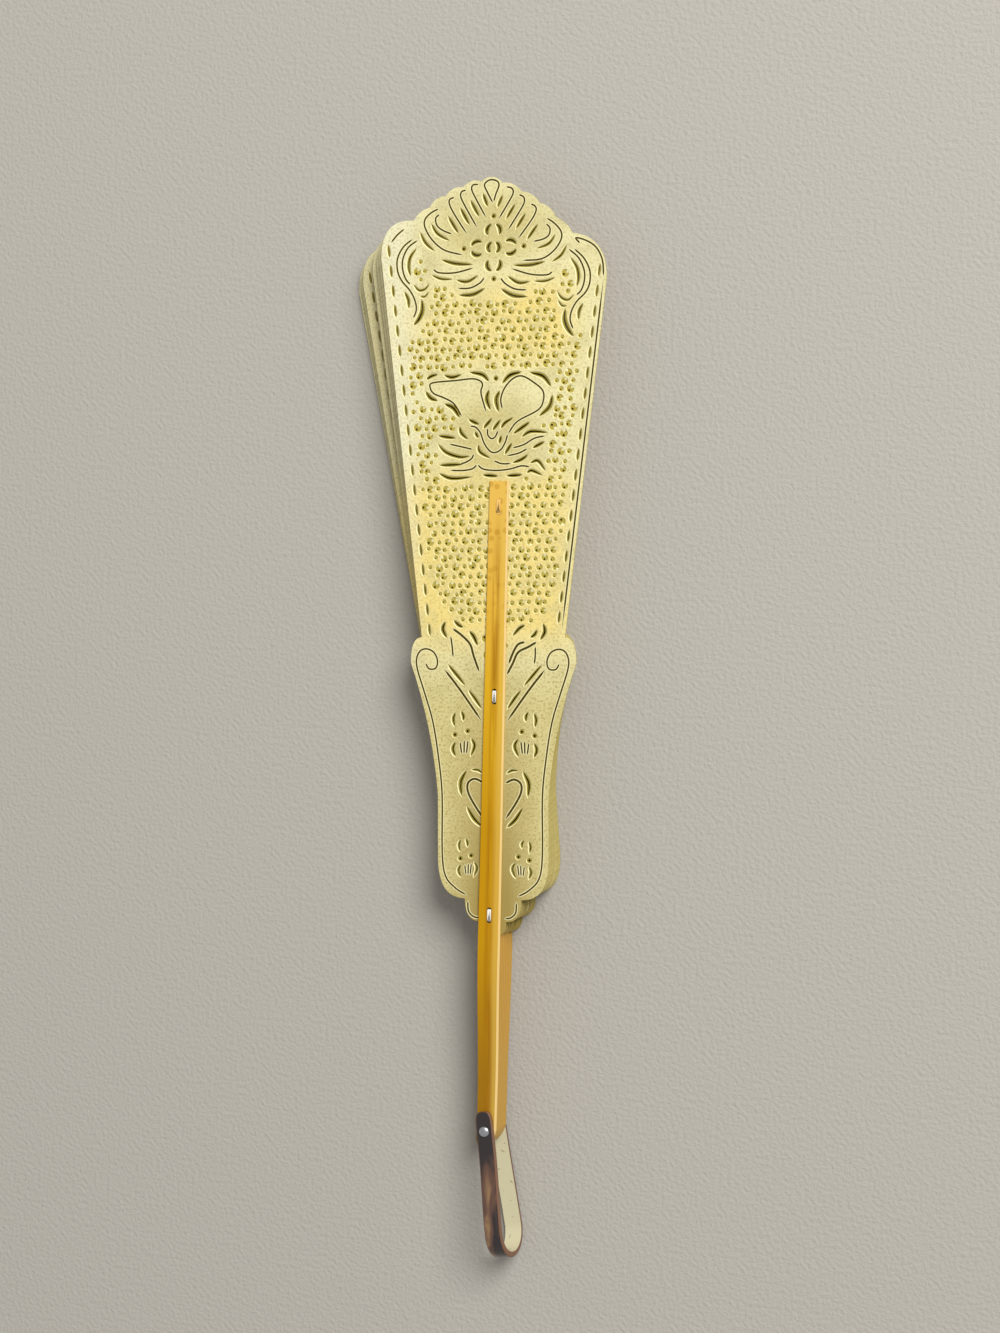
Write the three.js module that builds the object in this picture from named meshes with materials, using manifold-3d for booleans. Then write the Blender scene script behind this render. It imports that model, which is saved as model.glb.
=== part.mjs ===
// A folding brisé fan of pierced parchment blades on horn sticks, with a rivet and a hanging loop.
// Millimetres. The rivet is the Z axis, the closed blades point along +Y and the front faces +Z.
// The origin is the centre of the rivet's flat tail, in the plane of the table that the fan lies on.
import * as THREE from 'three';
import { mergeVertices } from 'three/addons/utils/BufferGeometryUtils.js';
import Module from 'manifold-3d';

const wasm = await Module();
wasm.setup();

// The set of blades, numbered from the front
const BLADES = 8;
// How far each blade lies anticlockwise of the front one in the closed fan, degrees
const REST_TURN = [0, 0.16, 0.32, 0.48, 0.62, 0.76, 0.9, 1.04];
// How far each leaf is sewn on askew of its stick, anticlockwise, degrees
const LEAF_SKEW = [1.4, 1.65, 1.9, 2.4, 2.5, 3.65, 3.9, 4.25];
// How much lower each leaf's crown was cut than the front one's
const CROWN_DROP = [0, 0.8, 1.7, 2.6, 3.4, 4.6, 5.3, 6];

// Clearances
const SEAT_GAP = 0.1; // between a leaf, its stick and its stitches
const RUN_GAP = 0.25; // between neighbours that turn past each other, and round the rivet
const TABLE_GAP = 0.05; // between the rear stitches and the table

// Leaf: half-widths, and distances from the rivet
const LEAF_THICKNESS = 0.5;
const LEAF_TOP = 300;
const LEAF_PIN_AT = 110; // where the leaf's middle line crosses its stick's
const DOME_HALF = 25.9; // foot of the palmette that crowns the leaf
const DOME_RISE = 12.5;
const PETALS = 9;
const PETAL_NOTCH = 0.9;
const SHOULDER_HALF = 36.9;
const SHOULDER_DROP = 15.5; // from the palmette's foot to the widest point
const CROWN_SLOPE = 0.1; // the hand-cut crown falls this much to the right, per mm of width
const WAIST_HALF = 23.5;
const WAIST_AT = 156;
const EAR_HALF = 27.2; // scrolls that stand out under the waist
const EAR_AT = 148;
const EAR_SWEEP = 1.6; // how far the hollow under a scroll stands out from the panel
const PANEL_HALF = 18.2; // narrow panel under the scrolls
const PANEL_TOP = 106;
const PANEL_FOOT = 86;
const FOOT_HALF = 9.3;
const FOOT_AT = 73.5;
const LOBE_HALF = 4.3; // lobe behind the stick
const LOBE_AT = 66.4;
const LEAF_FOOT = 61.6;
const CURVE_STEPS = 3;
const ROUND_END = [75, 50, 25]; // turns, in degrees, at which a strip's rounded end is drawn

// Openwork of the leaf
const BORDER_SLITS = 12; // along each side
const SLIT_LENGTH = 5.6;
const SLIT_WIDTH = 0.8;
const SLIT_INSET = 2.6; // from the edge of the leaf
const SLIT_MARGIN = 9; // from the shoulder and from the waist to the first slit's middle
const WEDGE_OUTER = 3.2; // slit between two petals, measured in from the palmette's edge
const WEDGE_INNER = 9;
const WEDGE_WIDTH = 1;
const FLOWER_DROP = 21.7; // from the leaf's top to the flower's middle
const FLOWER_RADIUS = 6.4;
const FLOWER_ARC = 38; // half the angle of each of its four crescents
const CRESCENT_WIDTH = 1.4;
const CHEVRON_OUTER = [15, 147]; // long slits that slope in to the stick under the waist
const CHEVRON_INNER = [6, 132];
const CHEVRON_WIDTH = 1.2;
const HEART_AT = 104; // two crescents that bow out round the stick
const HEART_RADIUS = 11.5;
const HEART_ARC = 50;

// Stick
const STICK_TOP = 205;
const STICK_HEEL = 5.5; // rounded end past the rivet
const HEEL_LEAN = 1.4; // sideways lean of that end
const STICK_WIDTH_PIVOT = 6.4;
const STICK_WIDTH_FOOT = 7.4;
const STICK_WIDTH_TOP = 6.4;
const STICK_THICKNESS_PIVOT = 1.2;
const STICK_THICKNESS_FOOT = 0.8;
const STICK_THICKNESS_TOP = 0.5;
const STICK_BEVEL = 0.3;
const BOW_STEP = 0.12; // each stick bows this much more to the right than the one before it
const BEND_START = 12; // the bare handle bends from the rivet's layers to the leaves' layers
const BEND_END = 57;
const BEND_STEPS = 5;
const UPPER_STEPS = 4;

// Stitches
const STITCH_UPPER = 197;
const STITCH_MIDDLE = 137.4;
const STITCH_LOWER = 68.5;
const STITCH_SPAN = 3.5; // between the two holes of a stitch
const THREAD_WIDTH = 1;
const THREAD_THICKNESS = 0.25;
const HOLE_SIDES = 6;

// Rivet
const SHANK_RADIUS = 1;
const HEAD_RADIUS = 1.7;
const HEAD_HEIGHT = 0.9;
const TAIL_RADIUS = 1.8;
const TAIL_HEIGHT = 0.8;
const ROUND_SIDES = 16;

// Loop
const LOOP_WIDTH = 5.4;
const LOOP_THICKNESS = 1.7;
const LOOP_BEVEL = 0.35;
const LOOP_END = 6.1; // length of a leg's rounded end
const LOOP_BACK_RISE = 4; // how much further the back leg reaches past the rivet
const LOOP_DROP = 40.9; // outside of the bow below the rivet
const LOOP_LEAN_FRONT = 7.5; // the hand-bent legs lean apart, degrees
const LOOP_LEAN_BACK = 10.5;
const LOOP_BULGE_FRONT = 2.2;
const LOOP_BULGE_BACK = 0.6;
const LOOP_STRAIGHT = 6; // length below the rivet before the legs bulge
const LEG_STEPS = 3;
const BOW_STEPS = 9;

// Heights that follow from the stack
const shankHole = SHANK_RADIUS + RUN_GAP;
const stitchHole = Math.hypot(THREAD_WIDTH, THREAD_THICKNESS) / 2 + RUN_GAP;
const threadLift = SEAT_GAP + THREAD_THICKNESS;
const stickSeat = LEAF_THICKNESS + SEAT_GAP;
const layerTop = Math.max(STICK_THICKNESS_FOOT, stickThickness(STITCH_UPPER) + threadLift);
const bladePitch = threadLift + stickSeat + layerTop + RUN_GAP;
const pivotPitch = STICK_THICKNESS_PIVOT + RUN_GAP;
const backLegZ = TAIL_HEIGHT + SEAT_GAP + LOOP_THICKNESS / 2;
const pivotBase = backLegZ + LOOP_THICKNESS / 2 + RUN_GAP;
const frontLegZ = pivotBase + BLADES * pivotPitch + LOOP_THICKNESS / 2;
const headZ = frontLegZ + LOOP_THICKNESS / 2 + SEAT_GAP;

const finishes = {
  parchment: { color: 0xe2d69e, roughness: 0.55, metalness: 0 },
  horn: { color: 0xcf9526, roughness: 0.3, metalness: 0 },
  thread: { color: 0xf1efe6, roughness: 0.7, metalness: 0 },
  steel: { color: 0xc9cacc, roughness: 0.3, metalness: 1 },
  darkHorn: { color: 0x3d302b, roughness: 0.3, metalness: 0 },
};

function piece(name, geometry, finish) {
  const mesh = new THREE.Mesh(geometry, new THREE.MeshStandardMaterial(finish));
  mesh.name = name;
  return mesh;
}

// Booleans

function toSolid(geometry) {
  const bare = geometry.clone();
  bare.deleteAttribute('normal');
  bare.deleteAttribute('uv');
  const merged = mergeVertices(bare, 1e-5);
  return new wasm.Manifold(new wasm.Mesh({
    numProp: 3,
    vertProperties: new Float32Array(merged.attributes.position.array),
    triVerts: new Uint32Array(merged.index.array),
  }));
}

function toGeometry(solid) {
  const mesh = solid.getMesh();
  const geometry = new THREE.BufferGeometry();
  geometry.setAttribute('position', new THREE.BufferAttribute(mesh.vertProperties, 3));
  geometry.setIndex(new THREE.BufferAttribute(mesh.triVerts, 1));
  geometry.computeVertexNormals();
  return geometry;
}

function cut(geometry, tools) {
  const whole = tools.reduce((solid, tool) => solid.subtract(toSolid(tool)), toSolid(geometry));
  return toGeometry(whole);
}

// Joins rings of equal point counts, each running clockwise when seen along the way they are listed.
function loft(rings) {
  const sides = rings[0].length;
  const index = [];
  for (let ring = 0; ring + 1 < rings.length; ring += 1) {
    for (let side = 0; side < sides; side += 1) {
      const a = ring * sides + side;
      const b = ring * sides + ((side + 1) % sides);
      index.push(a, b, a + sides, b, b + sides, a + sides);
    }
  }
  const last = (rings.length - 1) * sides;
  for (let side = 1; side + 1 < sides; side += 1) {
    index.push(0, side + 1, side);
    index.push(last, last + side, last + side + 1);
  }
  const geometry = new THREE.BufferGeometry().setFromPoints(rings.flat());
  geometry.setIndex(index);
  return geometry;
}

// A strip's section: flat below, bevelled along its two upper edges.
function stripSection(halfWidth, thickness, bevel) {
  return [
    [-halfWidth, 0],
    [-halfWidth, thickness - bevel],
    [bevel - halfWidth, thickness],
    [halfWidth - bevel, thickness],
    [halfWidth, thickness - bevel],
    [halfWidth, 0],
  ];
}

function upright(radius, height, sides) {
  return new THREE.CylinderGeometry(radius, radius, height, sides).rotateX(Math.PI / 2);
}

function spaced(from, to, steps) {
  return Array.from({ length: steps + 1 }, (_, step) => THREE.MathUtils.lerp(from, to, step / steps));
}

// Leaf

function domePoint(angle, offset) {
  const radius = (DOME_HALF ** 2 + DOME_RISE ** 2) / (2 * DOME_RISE);
  const reach = radius + offset;
  return new THREE.Vector2(
    reach * Math.sin(angle),
    LEAF_TOP - radius + reach * Math.cos(angle),
  );
}

function petalAngle() {
  const radius = (DOME_HALF ** 2 + DOME_RISE ** 2) / (2 * DOME_RISE);
  return (2 * Math.asin(DOME_HALF / radius)) / PETALS;
}

// Points are drawn for the right half of the leaf. side is 1 on the right and -1 on the left.
function onSide(points, side) {
  return points.map((point) => new THREE.Vector2(side * point.x, point.y));
}

function onCrown(points, side, drop) {
  return onSide(points, side)
    .map((point) => new THREE.Vector2(point.x, point.y - CROWN_SLOPE * point.x - drop));
}

function shoulderCorner() {
  return new THREE.Vector2(SHOULDER_HALF, LEAF_TOP - DOME_RISE - SHOULDER_DROP);
}

// One half of the leaf's edge, from the tip of the palmette down to the foot.
function leafEdge(side, drop) {
  const step = petalAngle();
  const shoulder = shoulderCorner();
  const crown = new THREE.Path();
  crown.moveTo(0, LEAF_TOP);
  for (let petal = 0.5; petal < PETALS / 2; petal += 1) {
    const isTip = petal < 1;
    const isLast = petal + 1 > PETALS / 2;
    const crest = isTip ? domePoint(step / 4, PETAL_NOTCH / 2) : domePoint((petal - 0.5) * step, PETAL_NOTCH);
    const notch = domePoint(petal * step, isLast ? 0 : -PETAL_NOTCH);
    crown.quadraticCurveTo(crest.x, crest.y, notch.x, notch.y);
  }
  crown.quadraticCurveTo(shoulder.x, LEAF_TOP - DOME_RISE, shoulder.x, shoulder.y);
  const body = new THREE.Path();
  body.moveTo(WAIST_HALF, WAIST_AT);
  body.quadraticCurveTo(EAR_HALF, WAIST_AT, EAR_HALF, EAR_AT);
  body.quadraticCurveTo(PANEL_HALF + EAR_SWEEP, (EAR_AT + PANEL_TOP) / 2, PANEL_HALF, PANEL_TOP);
  body.lineTo(PANEL_HALF, PANEL_FOOT);
  body.quadraticCurveTo(PANEL_HALF, FOOT_AT, FOOT_HALF, FOOT_AT);
  body.quadraticCurveTo(FOOT_HALF, LOBE_AT, LOBE_HALF, LOBE_AT);
  body.quadraticCurveTo(LOBE_HALF, LEAF_FOOT, 0, LEAF_FOOT);
  return [
    ...onCrown(crown.getPoints(CURVE_STEPS), side, drop),
    ...onSide(body.getPoints(CURVE_STEPS), side),
  ];
}

// A straight slit, tapered to both ends.
function slit(from, to, width) {
  const across = to.clone().sub(from).normalize().rotateAround(new THREE.Vector2(), Math.PI / 2);
  const middle = from.clone().lerp(to, 0.5);
  return [
    from,
    middle.clone().addScaledVector(across, width / 2),
    to,
    middle.clone().addScaledVector(across, -width / 2),
  ];
}

// A crescent round a centre, thick in the middle and pointed at both ends. Angles in degrees from +X.
function crescent(centre, radius, at, halfArc, width) {
  const spot = (turn, reach) => {
    const angle = THREE.MathUtils.degToRad(at + turn);
    return new THREE.Vector2(Math.cos(angle), Math.sin(angle)).multiplyScalar(reach).add(centre);
  };
  return [
    spot(-halfArc, radius),
    spot(0, radius + width / 2),
    spot(halfArc, radius),
    spot(halfArc / 2, radius - width / 2),
    spot(-halfArc / 2, radius - width / 2),
  ];
}

function borderSlits(side, drop) {
  const [top] = onCrown([shoulderCorner()], side, drop);
  const [foot] = onSide([new THREE.Vector2(WAIST_HALF, WAIST_AT)], side);
  const along = foot.clone().sub(top).normalize();
  const inward = new THREE.Vector2(along.y, -along.x).multiplyScalar(side);
  const run = top.distanceTo(foot) - 2 * SLIT_MARGIN;
  return Array.from({ length: BORDER_SLITS }, (_, place) => {
    const reach = SLIT_MARGIN + (run * place) / (BORDER_SLITS - 1);
    const middle = top.clone().addScaledVector(along, reach).addScaledVector(inward, SLIT_INSET);
    const from = middle.clone().addScaledVector(along, -SLIT_LENGTH / 2);
    const to = middle.clone().addScaledVector(along, SLIT_LENGTH / 2);
    return slit(from, to, SLIT_WIDTH);
  });
}

function petalWedges(side, drop) {
  const step = petalAngle();
  const wedges = [];
  for (let petal = 0.5; petal + 1 < PETALS / 2; petal += 1) {
    const angle = petal * step;
    const corner = domePoint(angle, -WEDGE_OUTER);
    const across = new THREE.Vector2(Math.cos(angle), -Math.sin(angle)).multiplyScalar(WEDGE_WIDTH / 2);
    const wedge = [corner.clone().sub(across), corner.clone().add(across), domePoint(angle, -WEDGE_INNER)];
    wedges.push(onCrown(wedge, side, drop));
  }
  return wedges;
}

// Cuts that each half of the leaf has.
function sideCuts(side, drop) {
  const flower = new THREE.Vector2(0, LEAF_TOP - FLOWER_DROP - drop);
  const heart = new THREE.Vector2(0, HEART_AT);
  const chevron = slit(
    new THREE.Vector2(...CHEVRON_OUTER),
    new THREE.Vector2(...CHEVRON_INNER),
    CHEVRON_WIDTH,
  );
  return [
    ...borderSlits(side, drop),
    ...petalWedges(side, drop),
    onSide(crescent(flower, FLOWER_RADIUS, 0, FLOWER_ARC, CRESCENT_WIDTH), side),
    onSide(chevron, side),
    onSide(crescent(heart, HEART_RADIUS, 0, HEART_ARC, CRESCENT_WIDTH), side),
  ];
}

function middleCuts(drop) {
  const flower = new THREE.Vector2(0, LEAF_TOP - FLOWER_DROP - drop);
  return [90, 270].map((at) => crescent(flower, FLOWER_RADIUS, at, FLOWER_ARC, CRESCENT_WIDTH));
}

function stitchHoles(blade) {
  return [STITCH_UPPER, STITCH_MIDDLE, STITCH_LOWER].flatMap((at) => [-1, 1].map((side) => {
    const y = at + (side * STITCH_SPAN) / 2;
    return new THREE.Vector2(stickBow(blade, at), y);
  }));
}

function roundHole(centre, radius, sides) {
  return Array.from({ length: sides }, (_, side) => {
    const angle = (2 * Math.PI * side) / sides;
    return new THREE.Vector2(Math.cos(angle), Math.sin(angle)).multiplyScalar(radius).add(centre);
  });
}

function leafGeometry(blade) {
  const skew = THREE.MathUtils.degToRad(LEAF_SKEW[blade]);
  const pin = new THREE.Vector2(0, LEAF_PIN_AT);
  const drop = CROWN_DROP[blade];
  const right = leafEdge(1, drop);
  const left = leafEdge(-1, drop).slice(1, -1).reverse();
  const outline = new THREE.Shape([...right, ...left].reverse());
  const openings = [...sideCuts(1, drop), ...sideCuts(-1, drop), ...middleCuts(drop)];
  for (const hole of stitchHoles(blade)) {
    openings.push(roundHole(hole.rotateAround(pin, -skew), stitchHole, HOLE_SIDES));
  }
  outline.holes = openings.map((points) => new THREE.Path(points));
  return new THREE.ExtrudeGeometry(outline, { depth: LEAF_THICKNESS, bevelEnabled: false })
    .translate(-pin.x, -pin.y, 0)
    .rotateZ(skew)
    .translate(pin.x, pin.y, 0);
}

// Stick

function stickThickness(y) {
  if (y < BEND_END) {
    const share = THREE.MathUtils.clamp((y - BEND_START) / (BEND_END - BEND_START), 0, 1);
    return THREE.MathUtils.lerp(STICK_THICKNESS_PIVOT, STICK_THICKNESS_FOOT, share);
  }
  const share = (y - BEND_END) / (STICK_TOP - BEND_END);
  return THREE.MathUtils.lerp(STICK_THICKNESS_FOOT, STICK_THICKNESS_TOP, share);
}

function stickHalfWidth(y) {
  if (y < BEND_END) {
    const share = Math.max(y, 0) / BEND_END;
    return THREE.MathUtils.lerp(STICK_WIDTH_PIVOT, STICK_WIDTH_FOOT, share) / 2;
  }
  const share = (y - BEND_END) / (STICK_TOP - BEND_END);
  return THREE.MathUtils.lerp(STICK_WIDTH_FOOT, STICK_WIDTH_TOP, share) / 2;
}

// Sideways place of the stick's middle line: a shallow bow between the rivet and its top.
function stickBow(blade, y) {
  const share = y / STICK_TOP;
  return 4 * BOW_STEP * blade * share * (1 - share);
}

function layerZ(blade) {
  return TABLE_GAP + threadLift + (BLADES - 1 - blade) * bladePitch;
}

// Underside of the stick, measured from the back of its leaf.
function stickUnderside(blade, y) {
  const pivot = pivotBase + (BLADES - 1 - blade) * pivotPitch - layerZ(blade);
  return THREE.MathUtils.lerp(pivot, stickSeat, THREE.MathUtils.smoothstep(y, BEND_START, BEND_END));
}

function stickRing(blade, y, halfWidth, x) {
  return stripSection(halfWidth, stickThickness(y), STICK_BEVEL)
    .map(([across, up]) => new THREE.Vector3(x + across, y, stickUnderside(blade, y) + up));
}

function stickGeometry(blade) {
  const rings = [];
  for (const turn of ROUND_END) {
    const angle = THREE.MathUtils.degToRad(turn);
    const reach = Math.sin(angle);
    const halfWidth = stickHalfWidth(0) * Math.cos(angle);
    rings.push(stickRing(blade, -STICK_HEEL * reach, halfWidth, -HEEL_LEAN * reach));
  }
  const bend = spaced(BEND_START, BEND_END, BEND_STEPS);
  const upper = spaced(BEND_END, STICK_TOP, UPPER_STEPS).slice(1);
  for (const y of [0, ...bend, ...upper]) {
    rings.push(stickRing(blade, y, stickHalfWidth(y), stickBow(blade, y)));
  }
  const tall = 4 * bladePitch;
  const pivotZ = stickUnderside(blade, 0);
  const tools = [upright(shankHole, tall, ROUND_SIDES).translate(0, 0, pivotZ)];
  for (const hole of stitchHoles(blade)) {
    tools.push(upright(stitchHole, tall, HOLE_SIDES).translate(hole.x, hole.y, stickSeat));
  }
  for (const at of [STITCH_MIDDLE, STITCH_LOWER]) {
    const groove = new THREE.BoxGeometry(THREAD_WIDTH + 2 * RUN_GAP, STITCH_SPAN, tall);
    tools.push(groove.translate(stickBow(blade, at), at, grooveFloor(at) + tall / 2));
  }
  return cut(loft(rings), tools);
}

// Stitches

// The floor of the groove that a stitch lies flush in, measured from the back of the leaf.
function grooveFloor(at) {
  const low = Math.min(stickThickness(at - STITCH_SPAN), stickThickness(at + STITCH_SPAN));
  return stickSeat + low - threadLift;
}

function stitchGeometry(blade, at, sunk) {
  const top = sunk ? grooveFloor(at) + SEAT_GAP : stickSeat + stickThickness(at - STITCH_SPAN) + SEAT_GAP;
  const inner = { y: (STITCH_SPAN - THREAD_THICKNESS) / 2, low: -SEAT_GAP, high: top };
  const outer = {
    y: (STITCH_SPAN + THREAD_THICKNESS) / 2,
    low: inner.low - THREAD_THICKNESS,
    high: inner.high + THREAD_THICKNESS,
  };
  const nip = THREAD_THICKNESS / 2;
  const ring = new THREE.Shape([
    new THREE.Vector2(outer.low, nip - outer.y),
    new THREE.Vector2(outer.low + nip, -outer.y),
    new THREE.Vector2(outer.high - nip, -outer.y),
    new THREE.Vector2(outer.high, nip - outer.y),
    new THREE.Vector2(outer.high, outer.y - nip),
    new THREE.Vector2(outer.high - nip, outer.y),
    new THREE.Vector2(outer.low + nip, outer.y),
    new THREE.Vector2(outer.low, outer.y - nip),
  ]);
  ring.holes.push(new THREE.Path([
    new THREE.Vector2(inner.low, -inner.y),
    new THREE.Vector2(inner.low, inner.y),
    new THREE.Vector2(inner.high, inner.y),
    new THREE.Vector2(inner.high, -inner.y),
  ]));
  return new THREE.ExtrudeGeometry(ring, { depth: THREAD_WIDTH, bevelEnabled: false })
    .translate(0, 0, -THREAD_WIDTH / 2)
    .rotateY(-Math.PI / 2)
    .translate(stickBow(blade, at), at, 0);
}

// Rivet

function rivetGeometry() {
  const dome = [60, 30, 0].map((turn) => {
    const angle = THREE.MathUtils.degToRad(turn);
    return new THREE.Vector2(HEAD_RADIUS * Math.sin(angle), headZ + HEAD_HEIGHT * Math.cos(angle));
  });
  const profile = [
    new THREE.Vector2(0, 0),
    new THREE.Vector2(TAIL_RADIUS, 0),
    new THREE.Vector2(TAIL_RADIUS, TAIL_HEIGHT),
    new THREE.Vector2(SHANK_RADIUS, TAIL_HEIGHT),
    new THREE.Vector2(SHANK_RADIUS, headZ),
    new THREE.Vector2(HEAD_RADIUS, headZ),
    ...dome,
  ];
  return new THREE.LatheGeometry(profile, ROUND_SIDES).rotateX(Math.PI / 2);
}

// Loop

// The loop's middle line: down the front leg, round the bow and up the back leg.
function loopStations() {
  const front = frontLegZ + LOOP_BULGE_FRONT;
  const back = backLegZ - LOOP_BULGE_BACK;
  const radius = (front - back) / 2;
  const bowY = radius + LOOP_THICKNESS / 2 - LOOP_DROP;
  const legs = [0, ...spaced(-LOOP_STRAIGHT, bowY, LEG_STEPS).slice(0, -1)];
  const legZ = (y, pivot, wide) => {
    const share = THREE.MathUtils.smoothstep(-y, LOOP_STRAIGHT, -bowY);
    return THREE.MathUtils.lerp(pivot, wide, share);
  };
  const ends = ROUND_END.map((turn) => {
    const angle = THREE.MathUtils.degToRad(turn);
    return { y: LOOP_END * Math.sin(angle), narrow: Math.cos(angle) };
  });
  const stations = ends.map(({ y, narrow }) => ({ y, z: frontLegZ, narrow, share: 0 }));
  for (const y of legs) {
    stations.push({ y, z: legZ(y, frontLegZ, front), narrow: 1, share: 0 });
  }
  for (let step = 0; step <= BOW_STEPS; step += 1) {
    const angle = (Math.PI * step) / BOW_STEPS;
    stations.push({
      y: bowY - radius * Math.sin(angle),
      z: (front + back) / 2 + radius * Math.cos(angle),
      narrow: 1,
      share: (1 - Math.cos(angle)) / 2,
    });
  }
  for (const y of [...legs].reverse()) {
    stations.push({ y, z: legZ(y, backLegZ, back), narrow: 1, share: 1 });
  }
  for (const { y, narrow } of [{ y: 0, narrow: 1 }, ...[...ends].reverse()]) {
    stations.push({ y: LOOP_BACK_RISE + y, z: backLegZ, narrow, share: 1 });
  }
  return stations;
}

function loopGeometry() {
  const stations = loopStations().map((station) => {
    const degrees = THREE.MathUtils.lerp(LOOP_LEAN_FRONT, LOOP_LEAN_BACK, station.share);
    const lean = THREE.MathUtils.degToRad(degrees);
    return {
      middle: new THREE.Vector3(-station.y * Math.tan(lean), station.y, station.z),
      across: new THREE.Vector3(-Math.cos(lean), -Math.sin(lean), 0),
      halfWidth: (LOOP_WIDTH / 2) * station.narrow,
    };
  });
  const rings = stations.map(({ middle, across, halfWidth }, place) => {
    const before = stations[Math.max(place - 1, 0)].middle;
    const after = stations[Math.min(place + 1, stations.length - 1)].middle;
    const outward = across.clone().cross(after.clone().sub(before)).normalize();
    return stripSection(halfWidth, LOOP_THICKNESS, LOOP_BEVEL).map(([side, up]) => middle.clone()
      .addScaledVector(across, side)
      .addScaledVector(outward, up - LOOP_THICKNESS / 2));
  });
  const tall = 2 * (headZ + HEAD_HEIGHT);
  return cut(loft(rings), [upright(shankHole, tall, ROUND_SIDES)]);
}

const fan = new THREE.Group();
for (let blade = 0; blade < BLADES; blade += 1) {
  const number = blade + 1;
  const group = new THREE.Group();
  group.position.z = layerZ(blade);
  group.rotation.z = THREE.MathUtils.degToRad(REST_TURN[blade]);
  group.add(
    piece(`leaf_${number}`, leafGeometry(blade), finishes.parchment),
    piece(`stick_${number}`, stickGeometry(blade), finishes.horn),
    piece(`stitch_upper_${number}`, stitchGeometry(blade, STITCH_UPPER, false), finishes.thread),
    piece(`stitch_middle_${number}`, stitchGeometry(blade, STITCH_MIDDLE, true), finishes.thread),
    piece(`stitch_lower_${number}`, stitchGeometry(blade, STITCH_LOWER, true), finishes.thread),
  );
  fan.add(group);
}
fan.add(piece('rivet', rivetGeometry(), finishes.steel));
fan.add(piece('loop', loopGeometry(), finishes.darkHorn));

export default fan;
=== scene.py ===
"""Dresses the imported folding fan: pierced parchment leaves, horn sticks, stitches, rivet and hanging loop.

Lengths are in millimetres until a piece is finished, when its mesh is scaled to metres. A leaf is drawn in
its own plane, x to the right of its middle line and y up from the rivet. Blades are numbered from the front.
"""

import logging
import math
import random
from collections.abc import Callable
from dataclasses import dataclass
from enum import Enum, IntEnum

import bmesh
import bpy
from bmesh.types import BMesh
from bpy.types import Material, Node, NodeSocket, NodeTree, Object
from mathutils import Euler, Matrix, Vector, geometry, kdtree


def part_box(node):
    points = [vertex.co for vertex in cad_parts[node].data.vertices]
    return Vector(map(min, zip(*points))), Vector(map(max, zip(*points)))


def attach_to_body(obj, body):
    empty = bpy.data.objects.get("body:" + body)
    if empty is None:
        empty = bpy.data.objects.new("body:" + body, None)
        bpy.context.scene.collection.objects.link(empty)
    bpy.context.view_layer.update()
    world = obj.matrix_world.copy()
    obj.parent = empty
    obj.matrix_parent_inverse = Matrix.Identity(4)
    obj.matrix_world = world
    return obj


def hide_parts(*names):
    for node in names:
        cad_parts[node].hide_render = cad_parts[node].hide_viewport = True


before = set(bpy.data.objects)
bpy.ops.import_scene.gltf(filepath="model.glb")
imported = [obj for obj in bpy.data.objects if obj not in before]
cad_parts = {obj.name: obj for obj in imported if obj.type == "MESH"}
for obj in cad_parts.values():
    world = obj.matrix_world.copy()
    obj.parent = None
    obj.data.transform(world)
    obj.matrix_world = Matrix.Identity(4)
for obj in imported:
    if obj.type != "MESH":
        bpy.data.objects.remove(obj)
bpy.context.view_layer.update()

MM = 0.001
TINY = 1e-4
SEED = 11
BLADES = 8
REAR_BODY = "rear_blade"

# How far each blade lies anticlockwise of the front one, and each leaf of its own stick, in degrees
REST_TURN = (0, 0.16, 0.32, 0.48, 0.62, 0.76, 0.9, 1.04)
LEAF_SKEW = (1.4, 1.65, 1.9, 2.4, 2.5, 3.65, 3.9, 4.25)
# How much lower each leaf's crown was cut than the front one's
CROWN_DROP = (0, 0.8, 1.7, 2.6, 3.4, 4.6, 5.3, 6)

# Where a leaf's middle line crosses its stick's, and where the stitches hold the two together
PIN_AT = 110.0
STITCH_SPAN = 3.5
STITCH_HOLE = 0.765
SEAT_GAP = 0.1
# How far apart the sticks' patterns are taken from the same horn
STICK_PITCH = 50.0
SHEET_MAP = "sheet"

# How much wider than its cut the chisel leaves a slit, and how wide the scriber's lines are
CHISEL_SPREAD = 1.25
SCORE_WIDTH = 0.55
BOLD_WIDTH = 0.75

# Stretches that a stroke gets between two points, and sides of a punched hole without and with a tongue
STRAIGHT_STEPS = 6
CURVE_STEPS = 4
PUNCH_SIDES = 8
TONGUE_SIDES = 11
TONGUE_REACH = 0.25

# Sides of the rivet's hole
BORE_SIDES = 32

# Turns, in degrees, at which the rounded end of a strip is drawn
END_TURNS = (84, 72, 60, 48, 36, 24, 12, 0)

log = logging.getLogger("fan")

Point = tuple[float, float]
Point3 = tuple[float, float, float]


class Cut(IntEnum):
    """What the line of a leaf's drawing bounds, the later winning where two overlap."""

    OUTLINE = 0
    RIM = 1
    SCORE = 2
    FLAP = 3
    DISC = 4
    SLIT = 5


class Sheet(IntEnum):
    """Material slots of a leaf."""

    FACE = 0
    RIM = 1
    SCORE = 2
    FLAP = 3
    DISC = 4
    WALL = 5


class Strip(IntEnum):
    """Material slots of a stick."""

    HORN = 0
    BEVEL = 1
    PIT = 2


class Strap(IntEnum):
    """Material slots of the loop."""

    OUTSIDE = 0
    INSIDE = 1
    EDGE = 2


class Stitch(Enum):
    """The three stitches of a blade, by their distance from the rivet."""

    UPPER = 197.0
    MIDDLE = 137.4
    LOWER = 68.5

    def holes(self) -> tuple[float, float]:
        """The distances of its two holes from the rivet."""
        return (self.value - STITCH_SPAN / 2, self.value + STITCH_SPAN / 2)


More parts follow.
